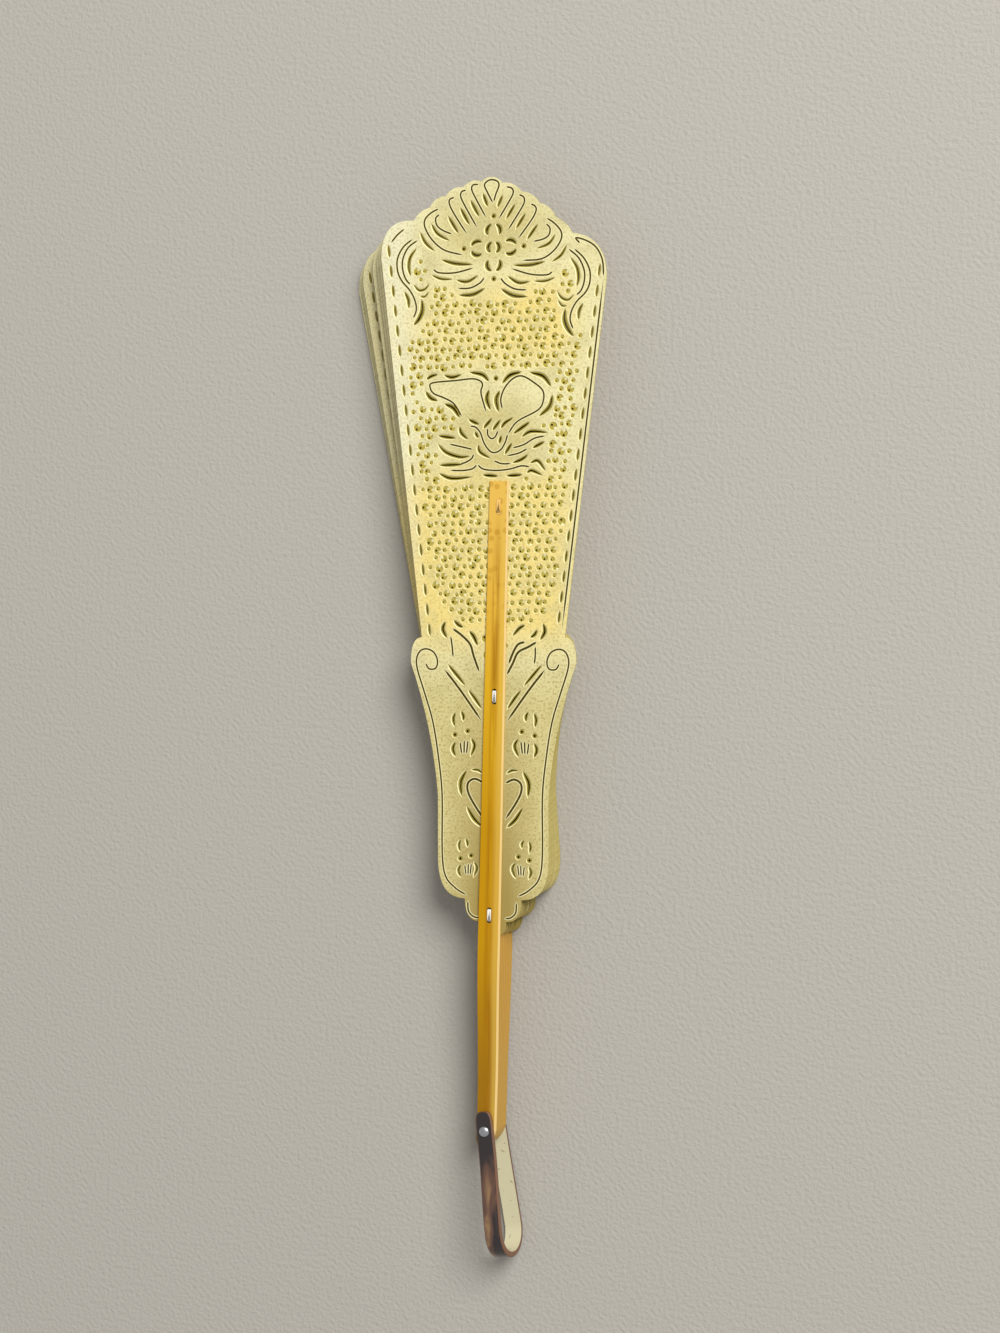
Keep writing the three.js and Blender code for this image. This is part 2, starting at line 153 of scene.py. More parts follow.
def linear(colour: str) -> tuple[float, float, float, float]:
    """Turns an sRGB hex colour to linear light.

    Args:
        colour: Six hex digits after a hash sign.

    Returns:
        Red, green, blue and an alpha of one.
    """
    parts = [int(colour[at:at + 2], 16) / 255 for at in (1, 3, 5)]
    light = [part / 12.92 if part <= 0.04045 else ((part + 0.055) / 1.055) ** 2.4 for part in parts]
    return (*light, 1.0)


def add_node(tree: NodeTree, kind: str, settings: dict | None = None, links: dict | None = None) -> Node:
    """Adds a node to a tree.

    Args:
        tree: The material's or world's node tree.
        kind: The node's type name.
        settings: Values by property name, or by the name or number of an input.
        links: Output sockets by the name or number of the input that they feed.

    Returns:
        The new node.
    """
    node = tree.nodes.new(kind)
    for name, value in (settings or {}).items():
        if isinstance(name, str) and hasattr(node, name):
            setattr(node, name, value)
        else:
            node.inputs[name].default_value = value
    for name, socket in (links or {}).items():
        tree.links.new(socket, node.inputs[name])
    return node


def mixed(tree: NodeTree, share: NodeSocket, under: str | NodeSocket, over: str) -> NodeSocket:
    """Lays one colour over another.

    Args:
        tree: The material's node tree.
        share: Socket that is one where the upper colour covers.
        under: The lower colour, as a hex string or a socket.
        over: The upper colour.

    Returns:
        The socket of the mixture.
    """
    settings = {"data_type": "RGBA", 7: linear(over)}
    links = {0: share}
    if isinstance(under, str):
        settings[6] = linear(under)
    else:
        links[6] = under
    return add_node(tree, "ShaderNodeMix", settings, links).outputs[2]


def painted(tree: NodeTree, shader: Node, under: str, layers: list[tuple[NodeSocket, str]]) -> None:
    """Lays colours over each other and gives the shader the result.

    Args:
        tree: The material's node tree.
        shader: Its surface shader.
        under: The ground colour.
        layers: How far each further colour covers, and the colour.
    """
    colour = under
    for share, over in layers:
        colour = mixed(tree, share, colour, over)
    tree.links.new(colour, shader.inputs["Base Color"])


def roughened(tree: NodeTree, shader: Node, height: NodeSocket, strength: float, depth: float) -> None:
    """Gives the shader a fine relief.

    Args:
        tree: The material's node tree.
        shader: Its surface shader.
        height: The pattern of heights.
        strength: How strongly it shows.
        depth: How deep it is, in millimetres.
    """
    settings = {"Strength": strength, "Distance": depth * MM}
    bump = add_node(tree, "ShaderNodeBump", settings, {"Height": height})
    tree.links.new(bump.outputs[0], shader.inputs["Normal"])


def ramp(tree: NodeTree, value: NodeSocket, edge: Point, low: float = 0.0, high: float = 1.0) -> NodeSocket:
    """A share that runs from low to high as a value crosses an edge."""
    settings = {1: edge[0], 2: edge[1], 3: low, 4: high}
    return add_node(tree, "ShaderNodeMapRange", settings, {0: value}).outputs[0]


def fade(tree: NodeTree, place: NodeSocket, edge: Point, low: float = 0.0, high: float = 1.0) -> NodeSocket:
    """A ramp over a place on the piece, with its edge in millimetres."""
    return ramp(tree, place, (edge[0] * MM, edge[1] * MM), low, high)


def sums(tree: NodeTree, operation: str, first: NodeSocket, *others: NodeSocket) -> NodeSocket:
    """Works through numbers from left to right with one operation."""
    for other in others:
        first = add_node(tree, "ShaderNodeMath", {"operation": operation}, {0: first, 1: other}).outputs[0]
    return first


def magnitude(tree: NodeTree, value: NodeSocket) -> NodeSocket:
    """A number without its sign."""
    return add_node(tree, "ShaderNodeMath", {"operation": "ABSOLUTE"}, {0: value}).outputs[0]


def reshaped(tree: NodeTree, operation: str, place: NodeSocket, by: Point3) -> NodeSocket:
    """A place moved or scaled by a vector."""
    return add_node(tree, "ShaderNodeVectorMath", {"operation": operation, 1: by}, {0: place}).outputs[0]


def distance(tree: NodeTree, place: NodeSocket) -> NodeSocket:
    """How far a place is from the origin."""
    return add_node(tree, "ShaderNodeVectorMath", {"operation": "LENGTH"}, {0: place}).outputs["Value"]


def noise(
    tree: NodeTree, place: NodeSocket, scale: float, detail: float = 2.0, swirl: float = 0.0
) -> NodeSocket:
    """Soft clouds between zero and one."""
    settings = {"Scale": scale, "Detail": detail, "Distortion": swirl}
    return add_node(tree, "ShaderNodeTexNoise", settings, {"Vector": place}).outputs[0]


def object_place(tree: NodeTree) -> NodeSocket:
    """The place on the object."""
    return add_node(tree, "ShaderNodeTexCoord").outputs["Object"]


def sheet_place(tree: NodeTree) -> tuple[NodeSocket, NodeSocket, NodeSocket]:
    """The place on the unrolled sheet, and its two coordinates."""
    place = add_node(tree, "ShaderNodeUVMap", {"uv_map": SHEET_MAP}).outputs[0]
    axes = add_node(tree, "ShaderNodeSeparateXYZ", links={0: place}).outputs
    return place, axes[0], axes[1]


@dataclass(frozen=True)
class Finish:
    """A plain surface and how it takes the light."""

    name: str
    colour: str
    roughness: float
    ior: float = 1.5
    metallic: float = 0.0
    coat: float = 0.0

    def material(self) -> Material:
        """Returns the finish as a material, made once."""
        found = bpy.data.materials.get(self.name)
        if found:
            return found
        made = bpy.data.materials.new(self.name)
        made.use_nodes = True
        shader = made.node_tree.nodes["Principled BSDF"]
        values = {
            "Base Color": linear(self.colour), "Roughness": self.roughness, "Metallic": self.metallic,
            "IOR": self.ior, "Coat Weight": self.coat,
        }
        for name, value in values.items():
            shader.inputs[name].default_value = value
        self.pattern(made.node_tree, shader)
        return made

    def pattern(self, tree: NodeTree, shader: Node) -> None:
        """A plain finish has no pattern."""


@dataclass(frozen=True)
class PaintedParchment(Finish):
    """Rawhide brushed with pale gold paint: cloudy, grainy, yellow in the field and sandy by the stick.

    An edge gives where a tone starts and where it is full. Places on the sheet are in millimetres.
    """

    field_colour: str = "#F2D87C"
    sand_colour: str = "#A28C46"
    cloud_colour: str = "#CBC189"
    wash_colour: str = "#C0AE5E"
    # The paler colour along the left edge is a painted highlight; the rear leaves get a duller one.
    left_highlight_colour: str = "#F0ECCB"
    upper_field: Point = (236.0, 272.0)
    upper_strength: float = 0.9
    lower_field: Point = (148.0, 214.0)
    lower_strength: float = 0.85
    field_fade: float = 12.0
    left_edge: Point = (-26.0, 10.0)
    left_share: float = 0.35
    right_edge: Point = (31.0, 20.0)
    washes: tuple[tuple[Point, Point], ...] = (((0.0, 284.0), (22.0, 13.0)), ((0.0, 219.0), (19.0, 15.0)))
    wash_edge: Point = (1.1, 0.5)
    wash_cover: float = 0.6
    cloud_size: float = 9.0
    cloud_detail: float = 3.0
    cloud_edge: Point = (0.45, 0.75)
    cloud_cover: float = 0.7
    left_highlight_edge: Point = (-22.0, -31.0)
    left_highlight_cover: float = 0.6
    dull_edge: Point = (156.0, 134.0)
    dull_cover: float = 0.5
    sand_across: Point = (16.0, 5.0)
    sand_along: Point = (158.0, 74.0)
    grain_size: float = 0.75
    grain_detail: float = 3.0
    grain_edge: Point = (0.48, 0.68)
    grain_cover: float = 0.7
    worn_edge: Point = (160.0, 140.0)
    unworn_share: float = 0.65
    grain_strength: float = 0.25
    grain_depth: float = 0.05

    def pattern(self, tree: NodeTree, shader: Node) -> None:
        """Mixes the gold, the field's yellow, the sandy middle and a painted highlight at the left edge, and
        roughens them with grain.

        Args:
            tree: The material's node tree.
            shader: Its surface shader.
        """
        sheet, x, y = sheet_place(tree)
        bands = []
        fields = ((self.upper_field, self.upper_strength), (self.lower_field, self.lower_strength))
        for (foot, top), strength in fields:
            up = fade(tree, y, (foot, foot + self.field_fade), high=strength)
            down = fade(tree, y, (top, top - self.field_fade))
            bands.append(sums(tree, "MULTIPLY", up, down))
        upper = sums(tree, "MULTIPLY", bands[0], fade(tree, x, self.left_edge, low=self.left_share))
        field = sums(tree, "MULTIPLY", sums(tree, "ADD", upper, bands[1]), fade(tree, x, self.right_edge))
        layers = [(field, self.field_colour)]
        for middle, reach in self.washes:
            moved = reshaped(tree, "SUBTRACT", sheet, (middle[0] * MM, middle[1] * MM, 0))
            away = distance(tree, reshaped(tree, "DIVIDE", moved, (reach[0] * MM, reach[1] * MM, 1)))
            layers.append((ramp(tree, away, self.wash_edge, high=self.wash_cover), self.wash_colour))
        cloud = noise(tree, sheet, 1 / (self.cloud_size * MM), self.cloud_detail)
        grain = noise(tree, sheet, 1 / (self.grain_size * MM), self.grain_detail)
        near = fade(tree, magnitude(tree, x), self.sand_across)
        grained = ramp(tree, grain, self.grain_edge, high=self.grain_cover)
        worn = fade(tree, y, self.worn_edge, low=self.unworn_share)
        layers += [
            (ramp(tree, cloud, self.cloud_edge, high=self.cloud_cover), self.cloud_colour),
            # Painted highlight along the left edge.
            (fade(tree, x, self.left_highlight_edge, high=self.left_highlight_cover), self.left_highlight_colour),
            (fade(tree, y, self.dull_edge, high=self.dull_cover), self.wash_colour),
            (sums(tree, "MULTIPLY", near, fade(tree, y, self.sand_along)), self.sand_colour),
            (sums(tree, "MULTIPLY", grained, worn), self.sand_colour),
        ]
        painted(tree, shader, self.colour, layers)
        roughened(tree, shader, grain, self.grain_strength, self.grain_depth)


@dataclass(frozen=True)
class AmberHorn(Finish):
    """Clear horn, scraped and polished: honey at the tip, brown at the handle, streaked along its length.

    An edge gives where a tone starts and where it is full, in millimetres on the stick.
    """

    tip_colour: str = "#E6B952"
    tip_edge: Point = (140.0, 200.0)
    low_colour: str = "#C18D02"
    low_edge: Point = (140.0, 95.0)
    handle_colour: str = "#9C6E08"
    handle_edge: Point = (60.0, 15.0)
    # A paler colour over the right half of the stick is a painted highlight.
    right_highlight_colour: str = "#E0B852"
    right_highlight_edge: Point = (0.2, 2.0)
    right_highlight_cover: float = 0.55
    streak_colour: str = "#9E6604"
    streak_width: float = 1.6
    streak_length: float = 45.0
    streak_across: Point = (1.7, 0.2)
    streak_along: Point = (196.0, 172.0)
    streak_edge: Point = (0.4, 0.58)
    streak_cover: float = 0.85
    shadow_colour: str = "#BE8C28"
    shadow_pitch: float = 2.9
    shadow_jitter: float = 0.6
    shadow_edge: Point = (0.42, 0.26)
    shadow_cover: float = 0.55
    shadow_along: Point = (150.0, 185.0)

    def pattern(self, tree: NodeTree, shader: Node) -> None:
        """Runs the colour along the stick, paints a highlight on its right half, and draws its streaks and
        the leaf's dots that show through.

        Args:
            tree: The material's node tree.
            shader: Its surface shader.
        """
        along, x, y = sheet_place(tree)
        half_pitch = 0.5 * STICK_PITCH * MM
        middle = {"operation": "WRAP", 1: half_pitch, 2: -half_pitch}
        across = add_node(tree, "ShaderNodeMath", middle, {0: x}).outputs[0]
        core = fade(tree, magnitude(tree, across), self.streak_across)
        stretch = (1 / (self.streak_width * MM), 1 / (self.streak_length * MM), 1)
        streak = noise(tree, reshaped(tree, "MULTIPLY", along, stretch), 1.0)
        strong = ramp(tree, streak, self.streak_edge, high=self.streak_cover)
        spread = {"Scale": 1 / (self.shadow_pitch * MM), "Randomness": self.shadow_jitter}
        spot = add_node(tree, "ShaderNodeTexVoronoi", spread, {"Vector": along}).outputs["Distance"]
        shade = ramp(tree, spot, self.shadow_edge, high=self.shadow_cover)
        painted(tree, shader, self.colour, [
            (fade(tree, y, self.tip_edge), self.tip_colour),
            (fade(tree, y, self.low_edge), self.low_colour),
            (fade(tree, y, self.handle_edge), self.handle_colour),
            # Painted highlight over the right half of the stick.
            (fade(tree, across, self.right_highlight_edge, high=self.right_highlight_cover), self.right_highlight_colour),
            (sums(tree, "MULTIPLY", shade, fade(tree, y, self.shadow_along)), self.shadow_colour),
            (sums(tree, "MULTIPLY", core, fade(tree, y, self.streak_along), strong), self.streak_colour),
        ])


@dataclass(frozen=True)
class MottledHorn(Finish):
    """Polished dark horn: black at the rivet, clouded with brown and amber below."""

    brown_colour: str = "#5E4234"
    brown_edge: Point = (0.42, 0.55)
    amber_colour: str = "#8E6C4A"
    amber_edge: Point = (0.58, 0.68)
    cloud_size: float = 12.0
    cloud_shape: Point3 = (2.2, 0.8, 0.8)
    cloud_swirl: float = 0.6
    black_edge: Point = (11.0, 7.0)

    def pattern(self, tree: NodeTree, shader: Node) -> None:
        """Clouds the black with brown and then amber.

        Args:
            tree: The material's node tree.
            shader: Its surface shader.
        """
        place = object_place(tree)
        drawn = reshaped(tree, "MULTIPLY", place, self.cloud_shape)
        cloud = noise(tree, drawn, 1 / (self.cloud_size * MM), swirl=self.cloud_swirl)
        away = distance(tree, reshaped(tree, "MULTIPLY", place, (1, 1, 0)))
        painted(tree, shader, self.colour, [
            (ramp(tree, cloud, self.brown_edge), self.brown_colour),
            (ramp(tree, cloud, self.amber_edge), self.amber_colour),
            (fade(tree, away, self.black_edge), self.colour),
        ])


@dataclass(frozen=True)
class PebbledFloor(Finish):
    """A matt ground with a fine pebbled grain."""

    pebble_size: float = 1.3
    pebble_height: float = 0.35
    pebble_strength: float = 1.0

    def pattern(self, tree: NodeTree, shader: Node) -> None:
        """Roughens the ground."""
        pebble = noise(tree, object_place(tree), 1 / (self.pebble_size * MM))
        roughened(tree, shader, pebble, self.pebble_strength, self.pebble_height)


@dataclass(frozen=True)
class SpeckledHorn(Finish):
    """Scraped pale horn: cream with tiny dark specks."""

    speck_colour: str = "#6B5B45"
    speck_size: float = 1.6
    speck_edge: Point = (0.66, 0.76)

    def pattern(self, tree: NodeTree, shader: Node) -> None:
        """Sows the specks."""
        speck = noise(tree, object_place(tree), 1 / (self.speck_size * MM))
        painted(tree, shader, self.colour, [(ramp(tree, speck, self.speck_edge), self.speck_colour)])


PAINTED_PARCHMENT = PaintedParchment("painted parchment", "#E9E0A8", 0.5)
# Where the punch turned the edge of a hole over, the paint is gone and bare rawhide shows.
BARE_RIM = Finish("bare rawhide rim", "#EFE6B0", 0.55)
CUT_EDGE = Finish("cut rawhide edge", "#B8A654", 0.6)
# The sunk flaps and the punched dots are painted darker olive and ochre: painted shade, standing in for the
# shaded leaf behind each cut.
FLAP_PAINTED_SHADE = Finish("olive painted shade in a cut", "#978832", 0.7, 1.3)
DISC_PAINTED_SHADE = Finish("ochre paint in a punched dot", "#B2A145", 0.7, 1.3)
SCORED_LINE = Finish("pigment in a scored line", "#4C4010", 0.9, 1.15)
# The leaves behind the front one are painted darker all over: painted shade, where the stack shades them.
REAR_PARCHMENT_PAINTED_SHADE = PaintedParchment("rear parchment with painted shade", "#D4C98E", 0.5, left_highlight_colour="#E6DEB0")
AMBER_HORN = AmberHorn("polished amber horn", "#DAA81C", 0.25, 1.3)
# The front stick's right bevel is painted pale, a painted highlight; the other sticks' right bevels are
# painted darker, a painted shade.
FRONT_BEVEL_PAINTED_HIGHLIGHT = Finish("horn bevel with painted highlight", "#E2C07C", 0.35, 1.4)
REAR_BEVEL_PAINTED_SHADE = Finish("horn bevel with painted shade", "#B4893C", 0.35, 1.3)
# The walls of the holes drilled in the horn are painted dark brown: painted shade.
PIT = Finish("painted shade in a horn pit", "#8A5A18", 0.6)
MOTTLED_HORN = MottledHorn("polished mottled horn", "#2B2322", 0.22, 1.54, coat=0.4)
PALE_HORN = SpeckledHorn("scraped pale horn", "#CFC7A4", 0.4, 1.54)
BROWN_EDGE = Finish("sawn horn edge", "#76523A", 0.4, 1.54)
WHITE_THREAD = Finish("twisted white cotton", "#F3F0E6", 0.8)
PEACH_THREAD = Finish("twisted honey-stained cotton", "#EBC06C", 0.8)
PEENED_STEEL = Finish("peened steel", "#C9CACC", 0.3, metallic=1.0)
PALE_FLOOR = PebbledFloor("matt pale floor", "#B4AFA5", 0.9)


def finished(bm: BMesh, name: str, finishes: tuple[Finish, ...]) -> Object:
    """Turns a bmesh in metres to an object in the scene.

    Args:
        bm: The shape, which is freed.
        name: The piece's name.
        finishes: Its materials, in the order of their slots.

    Returns:
        The object, at the origin.
    """
    mesh = bpy.data.meshes.new(name)
    bm.to_mesh(mesh)
    bm.free()
    for finish in finishes:
        mesh.materials.append(finish.material())
    piece = bpy.data.objects.new(name, mesh)
    bpy.context.scene.collection.objects.link(piece)
    return piece


def attach(piece: Object, body: str, slot: str, *nodes: str) -> None:
    """Puts a piece on its body in place of the solids that it stands for, and reports it.

    Args:
        piece: The finished piece.
        body: The body that it moves with.
        slot: The record's material slot; not used.
        nodes: The solids that it replaces.
    """
    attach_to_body(piece, body)
    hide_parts(*nodes)
    log.info("%s: %d faces on %s", piece.name, len(piece.data.polygons), body)


def sweep(bm: BMesh, rings: list[list[Vector]], closed: bool = False) -> bmesh.types.BMLayerItem:
    """Extrudes a section through a row of rings, on the way leaving its face inside at each of them.

    Args:
        bm: The bmesh to build in.
        rings: The section's points at each station.
        closed: Whether the last ring is the first one again.

    Returns:
        The vertex layer that holds each vertex's place in the section.
    """
    around = bm.verts.layers.int.new("around")
    start = [bm.verts.new(point) for point in rings[0]]
    for place, vert in enumerate(start):
        vert[around] = place
    first = bm.faces.new(start)
    end = first
    for ring in rings[1:]:
        made = bmesh.ops.extrude_face_region(bm, geom=[end])["geom"]
        end = next(item for item in made if isinstance(item, bmesh.types.BMFace))
        for vert in end.verts:
            vert.co = ring[vert[around]]
    if closed:
        bmesh.ops.delete(bm, geom=[first, end], context="FACES_ONLY")
        bmesh.ops.remove_doubles(bm, verts=bm.verts, dist=TINY)
    bmesh.ops.recalc_face_normals(bm, faces=bm.faces)
    return around


def eased(share: float) -> float:
    """A share held between zero and one, and eased at both ends."""
    share = min(max(share, 0), 1)
    return share * share * (3 - 2 * share)


def rod(bm: BMesh, radius: float, length: float, middle: Point3, sides: int) -> None:
    """Adds an upright rod.

    Args:
        bm: The bmesh to build in.
        radius: Its radius.
        length: Its length.
        middle: The place of its middle.
        sides: How many sides it has.
    """
    bmesh.ops.create_cone(
        bm, cap_ends=True, segments=sides, radius1=radius, radius2=radius, depth=length,
        matrix=Matrix.Translation(middle),
    )


def unrolled(bm: BMesh, shift: Callable[[Vector], Vector]) -> None:
    """Lays out the map that the patterns follow.

    Args:
        bm: The shape, in millimetres.
        shift: Gives the place of a vertex on the sheet.
    """
    sheet = bm.loops.layers.uv.new(SHEET_MAP)
    for face in bm.faces:
        for corner in face.loops:
            corner[sheet].uv = shift(corner.vert.co) * MM


def smoothed(points: tuple[Point, ...], steps: int) -> list[Vector]:
    """Draws a smooth curve through a few points.

    Args:
        points: The points that it passes through.
        steps: How many stretches each gap between points gets.

    Returns:
        Points along the curve.
    """
    spots = [Vector(point) for point in points]
    before = [2 * spots[0] - spots[1], *spots[:-1]]
    after = [*spots[2:], 2 * spots[-1] - spots[-2]]
    curve = [spots[0]]
    for a, b, c, d in zip(before[:-1], spots[:-1], spots[1:], after):
        for step in range(1, steps + 1):
            t = step / steps
            bend = (2 * a - 5 * b + 4 * c - d) * t * t + (3 * b - a - 3 * c + d) * t ** 3
            curve.append(b + ((c - a) * t + bend) / 2)
    return curve


def quadratic(start: Point, control: Point, end: Point, steps: int) -> list[Vector]:
    """Draws a quadratic curve, without its first point.

    Args:
        start: Where it starts.
        control: Where its end tangents meet.
        end: Where it ends.
        steps: How many stretches it has.

    Returns:
        Points along the curve.
    """
    a, b, c = Vector(start), Vector(control), Vector(end)
    shares = [step / steps for step in range(1, steps + 1)]
    return [a * (1 - t) ** 2 + b * 2 * t * (1 - t) + c * t * t for t in shares]


@dataclass(frozen=True)
class Stroke:
    """A stroke of the chisel or the scriber, through a few points."""

    cut: Cut
    width: float
    points: tuple[Point, ...]

    def loop(self, spare: float = 0.0, share: float = 1.0) -> list[Vector]:
        """Outlines the stroke.

        Args:
            spare: How much wider and longer it is drawn, at each side and end.
            share: The share of its width that is drawn.

        Returns:
            The points of its closed outline.
        """
        curve = smoothed(self.points, STRAIGHT_STEPS if len(self.points) == 2 else CURVE_STEPS)
        ways = [(b - a).normalized() for a, b in zip(curve, curve[1:])]
        ways = [ways[0], *[(a + b).normalized() for a, b in zip(ways, ways[1:])], ways[-1]]
        sides = []
        for place in range(1, len(curve) - 1):
            half = share * self.half_width(place / (len(curve) - 1)) + spare
            across = Vector((-ways[place].y, ways[place].x)) * half
            sides.append((curve[place] + across, curve[place] - across))
        start = curve[0] - ways[0] * spare
        end = curve[-1] + ways[-1] * spare
        return [start, *[a for a, _ in sides], end, *[b for _, b in reversed(sides)]]

    def half_width(self, share: float) -> float:
        """A scored line is even with short points, and a slit swells to its middle."""
        if self.cut is Cut.SCORE:
            return self.width / 2
        return self.width / 2 * math.sin(math.pi * share) ** 0.5


def slit(width: float, *points: Point) -> Stroke:
    """A slit cut right through, spread by the chisel's wedge."""
    return Stroke(Cut.SLIT, CHISEL_SPREAD * width, points)


def score(*points: Point) -> Stroke:
    """A scored line with pigment in it."""
    return Stroke(Cut.SCORE, SCORE_WIDTH, points)


def bold(*points: Point) -> Stroke:
    """A scored line gone over twice."""
    return Stroke(Cut.SCORE, BOLD_WIDTH, points)


@dataclass(frozen=True)
class Motif:
    """Strokes and punched dots that belong together, drawn on the right half and mirrored where symmetric."""

    strokes: tuple[Stroke, ...]
    dots: tuple[Point, ...] = ()
    mirrored: bool = True
    axis: float = 0.0
    slope: float = 0.0
    on_crown: bool = False

    def sides(self) -> tuple[int, ...]:
        """The halves of the leaf that it is drawn on."""
        return (1, -1) if self.mirrored else (1,)

    def placed(self, point: Point, side: int, drop: float) -> Point:
        """A point of the motif on one half of a leaf whose crown is lower by a drop."""
        y = point[1] - self.slope * side * point[0]
        return (self.axis + side * point[0], y - drop if self.on_crown else y)

    def all_strokes(self, drop: float) -> list[Stroke]:
        """Its strokes on both halves."""
        return [
            Stroke(stroke.cut, stroke.width, tuple(self.placed(point, side, drop) for point in stroke.points))
            for side in self.sides() for stroke in self.strokes
        ]

    def all_dots(self, drop: float) -> list[Point]:
        """Its dots on both halves."""
        return [self.placed(dot, side, drop) for side in self.sides() for dot in self.dots]


# The palmette that crowns the leaf: hooked petals with a slit between each two
PALMETTE = Motif((
    score((4.5, 297.3), (6.3, 297.0), (6.8, 295.6), (5.6, 293.1), (1.9, 286.8)),
    score((8.6, 295.2), (10.1, 294.6), (10.4, 293.0), (9.0, 290.2), (4.8, 283.4)),
    score((12.5, 292.6), (13.9, 292.0), (14.2, 290.6), (12.7, 287.6), (8.2, 281.2)),
    slit(0.9, (3.2, 294.6), (1.6, 290.6)),
    slit(0.9, (7.3, 292.2), (4.4, 287.2)),
    slit(0.9, (10.7, 289.6), (7.6, 284.4)),
    slit(0.9, (14.7, 286.6), (11.2, 281.4)),
    score((17.6, 288.7), (20.3, 287.1), (22.3, 284.8), (22.2, 282.2), (19.8, 278.6), (15.8, 275.8),
          (9.6, 274.8)),
    score((17.4, 286.9), (18.7, 285.6), (18.3, 283.4), (16.4, 282.0), (13.2, 281.0)),
    slit(0.8, (20.3, 283.8), (18.2, 280.8), (14.2, 278.9)),
    slit(0.8, (24.0, 280.8), (22.2, 277.6), (19.2, 275.2)),
), slope=0.13, on_crown=True)

APEX = Motif((
    score((0.2, 291.8), (-1.6, 295.2), (-2.6, 297.6), (-1.4, 298.9), (0.2, 299.1), (1.8, 298.4),
          (2.1, 297.0), (1.2, 294.8), (0.4, 292.2)),
), mirrored=False, on_crown=True)

# The leaves that spread under the flower
SPRAY = Motif((
    slit(1.0, (17.0, 273.9), (12.2, 272.8), (6.6, 272.6)),
    score((19.6, 270.9), (17.6, 269.8), (12.3, 269.9), (6.0, 271.6)),
    slit(0.7, (20.2, 269.0), (17.0, 267.9), (13.4, 267.8)),
    slit(0.9, (12.0, 267.6), (8.4, 267.2), (4.8, 269.2)),
    score((11.4, 265.0), (7.4, 265.2), (4.2, 266.8), (2.6, 268.6)),
    slit(1.1, (11.2, 262.9), (6.6, 263.2), (2.6, 265.2)),
), slope=0.06, on_crown=True)

# The scrolls that hang from the shoulders
SCROLL = Motif((
    score((26.4, 279.2), (29.6, 276.4), (31.5, 272.6), (31.4, 268.6), (29.9, 265.6), (27.4, 263.0),
          (25.7, 260.0), (25.2, 257.0), (26.2, 254.2)),
    score((24.6, 279.0), (27.9, 276.4), (29.7, 272.6), (29.7, 269.2), (28.7, 266.4), (27.2, 264.8)),
    slit(0.9, (25.2, 276.4), (27.3, 273.4), (27.8, 270.2), (27.2, 267.4)),
    slit(0.9, (29.2, 262.4), (28.0, 260.0), (27.8, 257.2)),
    slit(1.3, (23.5, 260.4), (23.3, 257.0), (24.4, 254.2), (26.2, 252.0)),
    slit(0.7, (26.2, 264.8), (24.4, 263.2), (22.4, 263.7), (21.0, 265.4)),
    slit(0.6, (24.0, 261.3), (22.5, 261.3), (21.2, 262.8)),
), slope=0.1, on_crown=True)

# The lines that hook over the shoulders, one along the right edge and one short on the left
SHOULDERS = Motif((
    score((28.4, 278.0), (27.0, 279.8), (30.4, 278.8), (33.5, 276.6), (35.5, 272.6), (35.9, 267.4)),
    score((-33.6, 281.0), (-31.6, 283.3), (-29.1, 285.2)),
), mirrored=False, on_crown=True)

# The two wings over the stick, one pointed and one round, and the lotus between them
WINGS = Motif((
    score((-10.0, 225.2), (-12.7, 229.5), (-16.1, 231.5), (-19.4, 232.9), (-20.6, 234.8), (-19.8, 236.3),
          (-12.1, 236.8), (-6.7, 237.2), (-4.0, 236.4), (-3.3, 235.0), (-3.8, 232.6), (-2.0, 226.3)),
    slit(1.0, (-21.9, 237.4), (-20.4, 238.4), (-18.2, 238.9)),
    slit(1.0, (-16.1, 238.6), (-13.4, 237.9), (-10.4, 238.6)),
    slit(1.1, (-7.7, 239.3), (-3.4, 238.4), (-1.3, 236.2)),
    slit(1.2, (-1.3, 233.6), (-2.0, 230.8), (-0.8, 227.2)),
    slit(1.1, (-22.2, 233.6), (-20.6, 231.6), (-18.3, 230.6)),
    slit(1.2, (-16.0, 229.6), (-13.0, 228.2), (-10.9, 225.0)),
    score((3.2, 227.4), (2.7, 230.6), (4.0, 234.1), (6.7, 236.9), (9.7, 237.6), (13.6, 235.4),
          (16.4, 232.8), (16.5, 229.6), (14.7, 226.8), (8.1, 223.5), (5.0, 219.6)),
    slit(1.2, (3.0, 235.4), (5.6, 238.0), (9.4, 238.9)),
    slit(1.2, (12.0, 238.7), (16.4, 237.4), (19.0, 234.0)),
    slit(1.2, (2.2, 233.2), (1.1, 230.4), (1.9, 226.5)),
    slit(1.2, (19.4, 231.5), (18.4, 227.8), (15.0, 224.9)),
), dots=((1.0, 237.1),), mirrored=False)

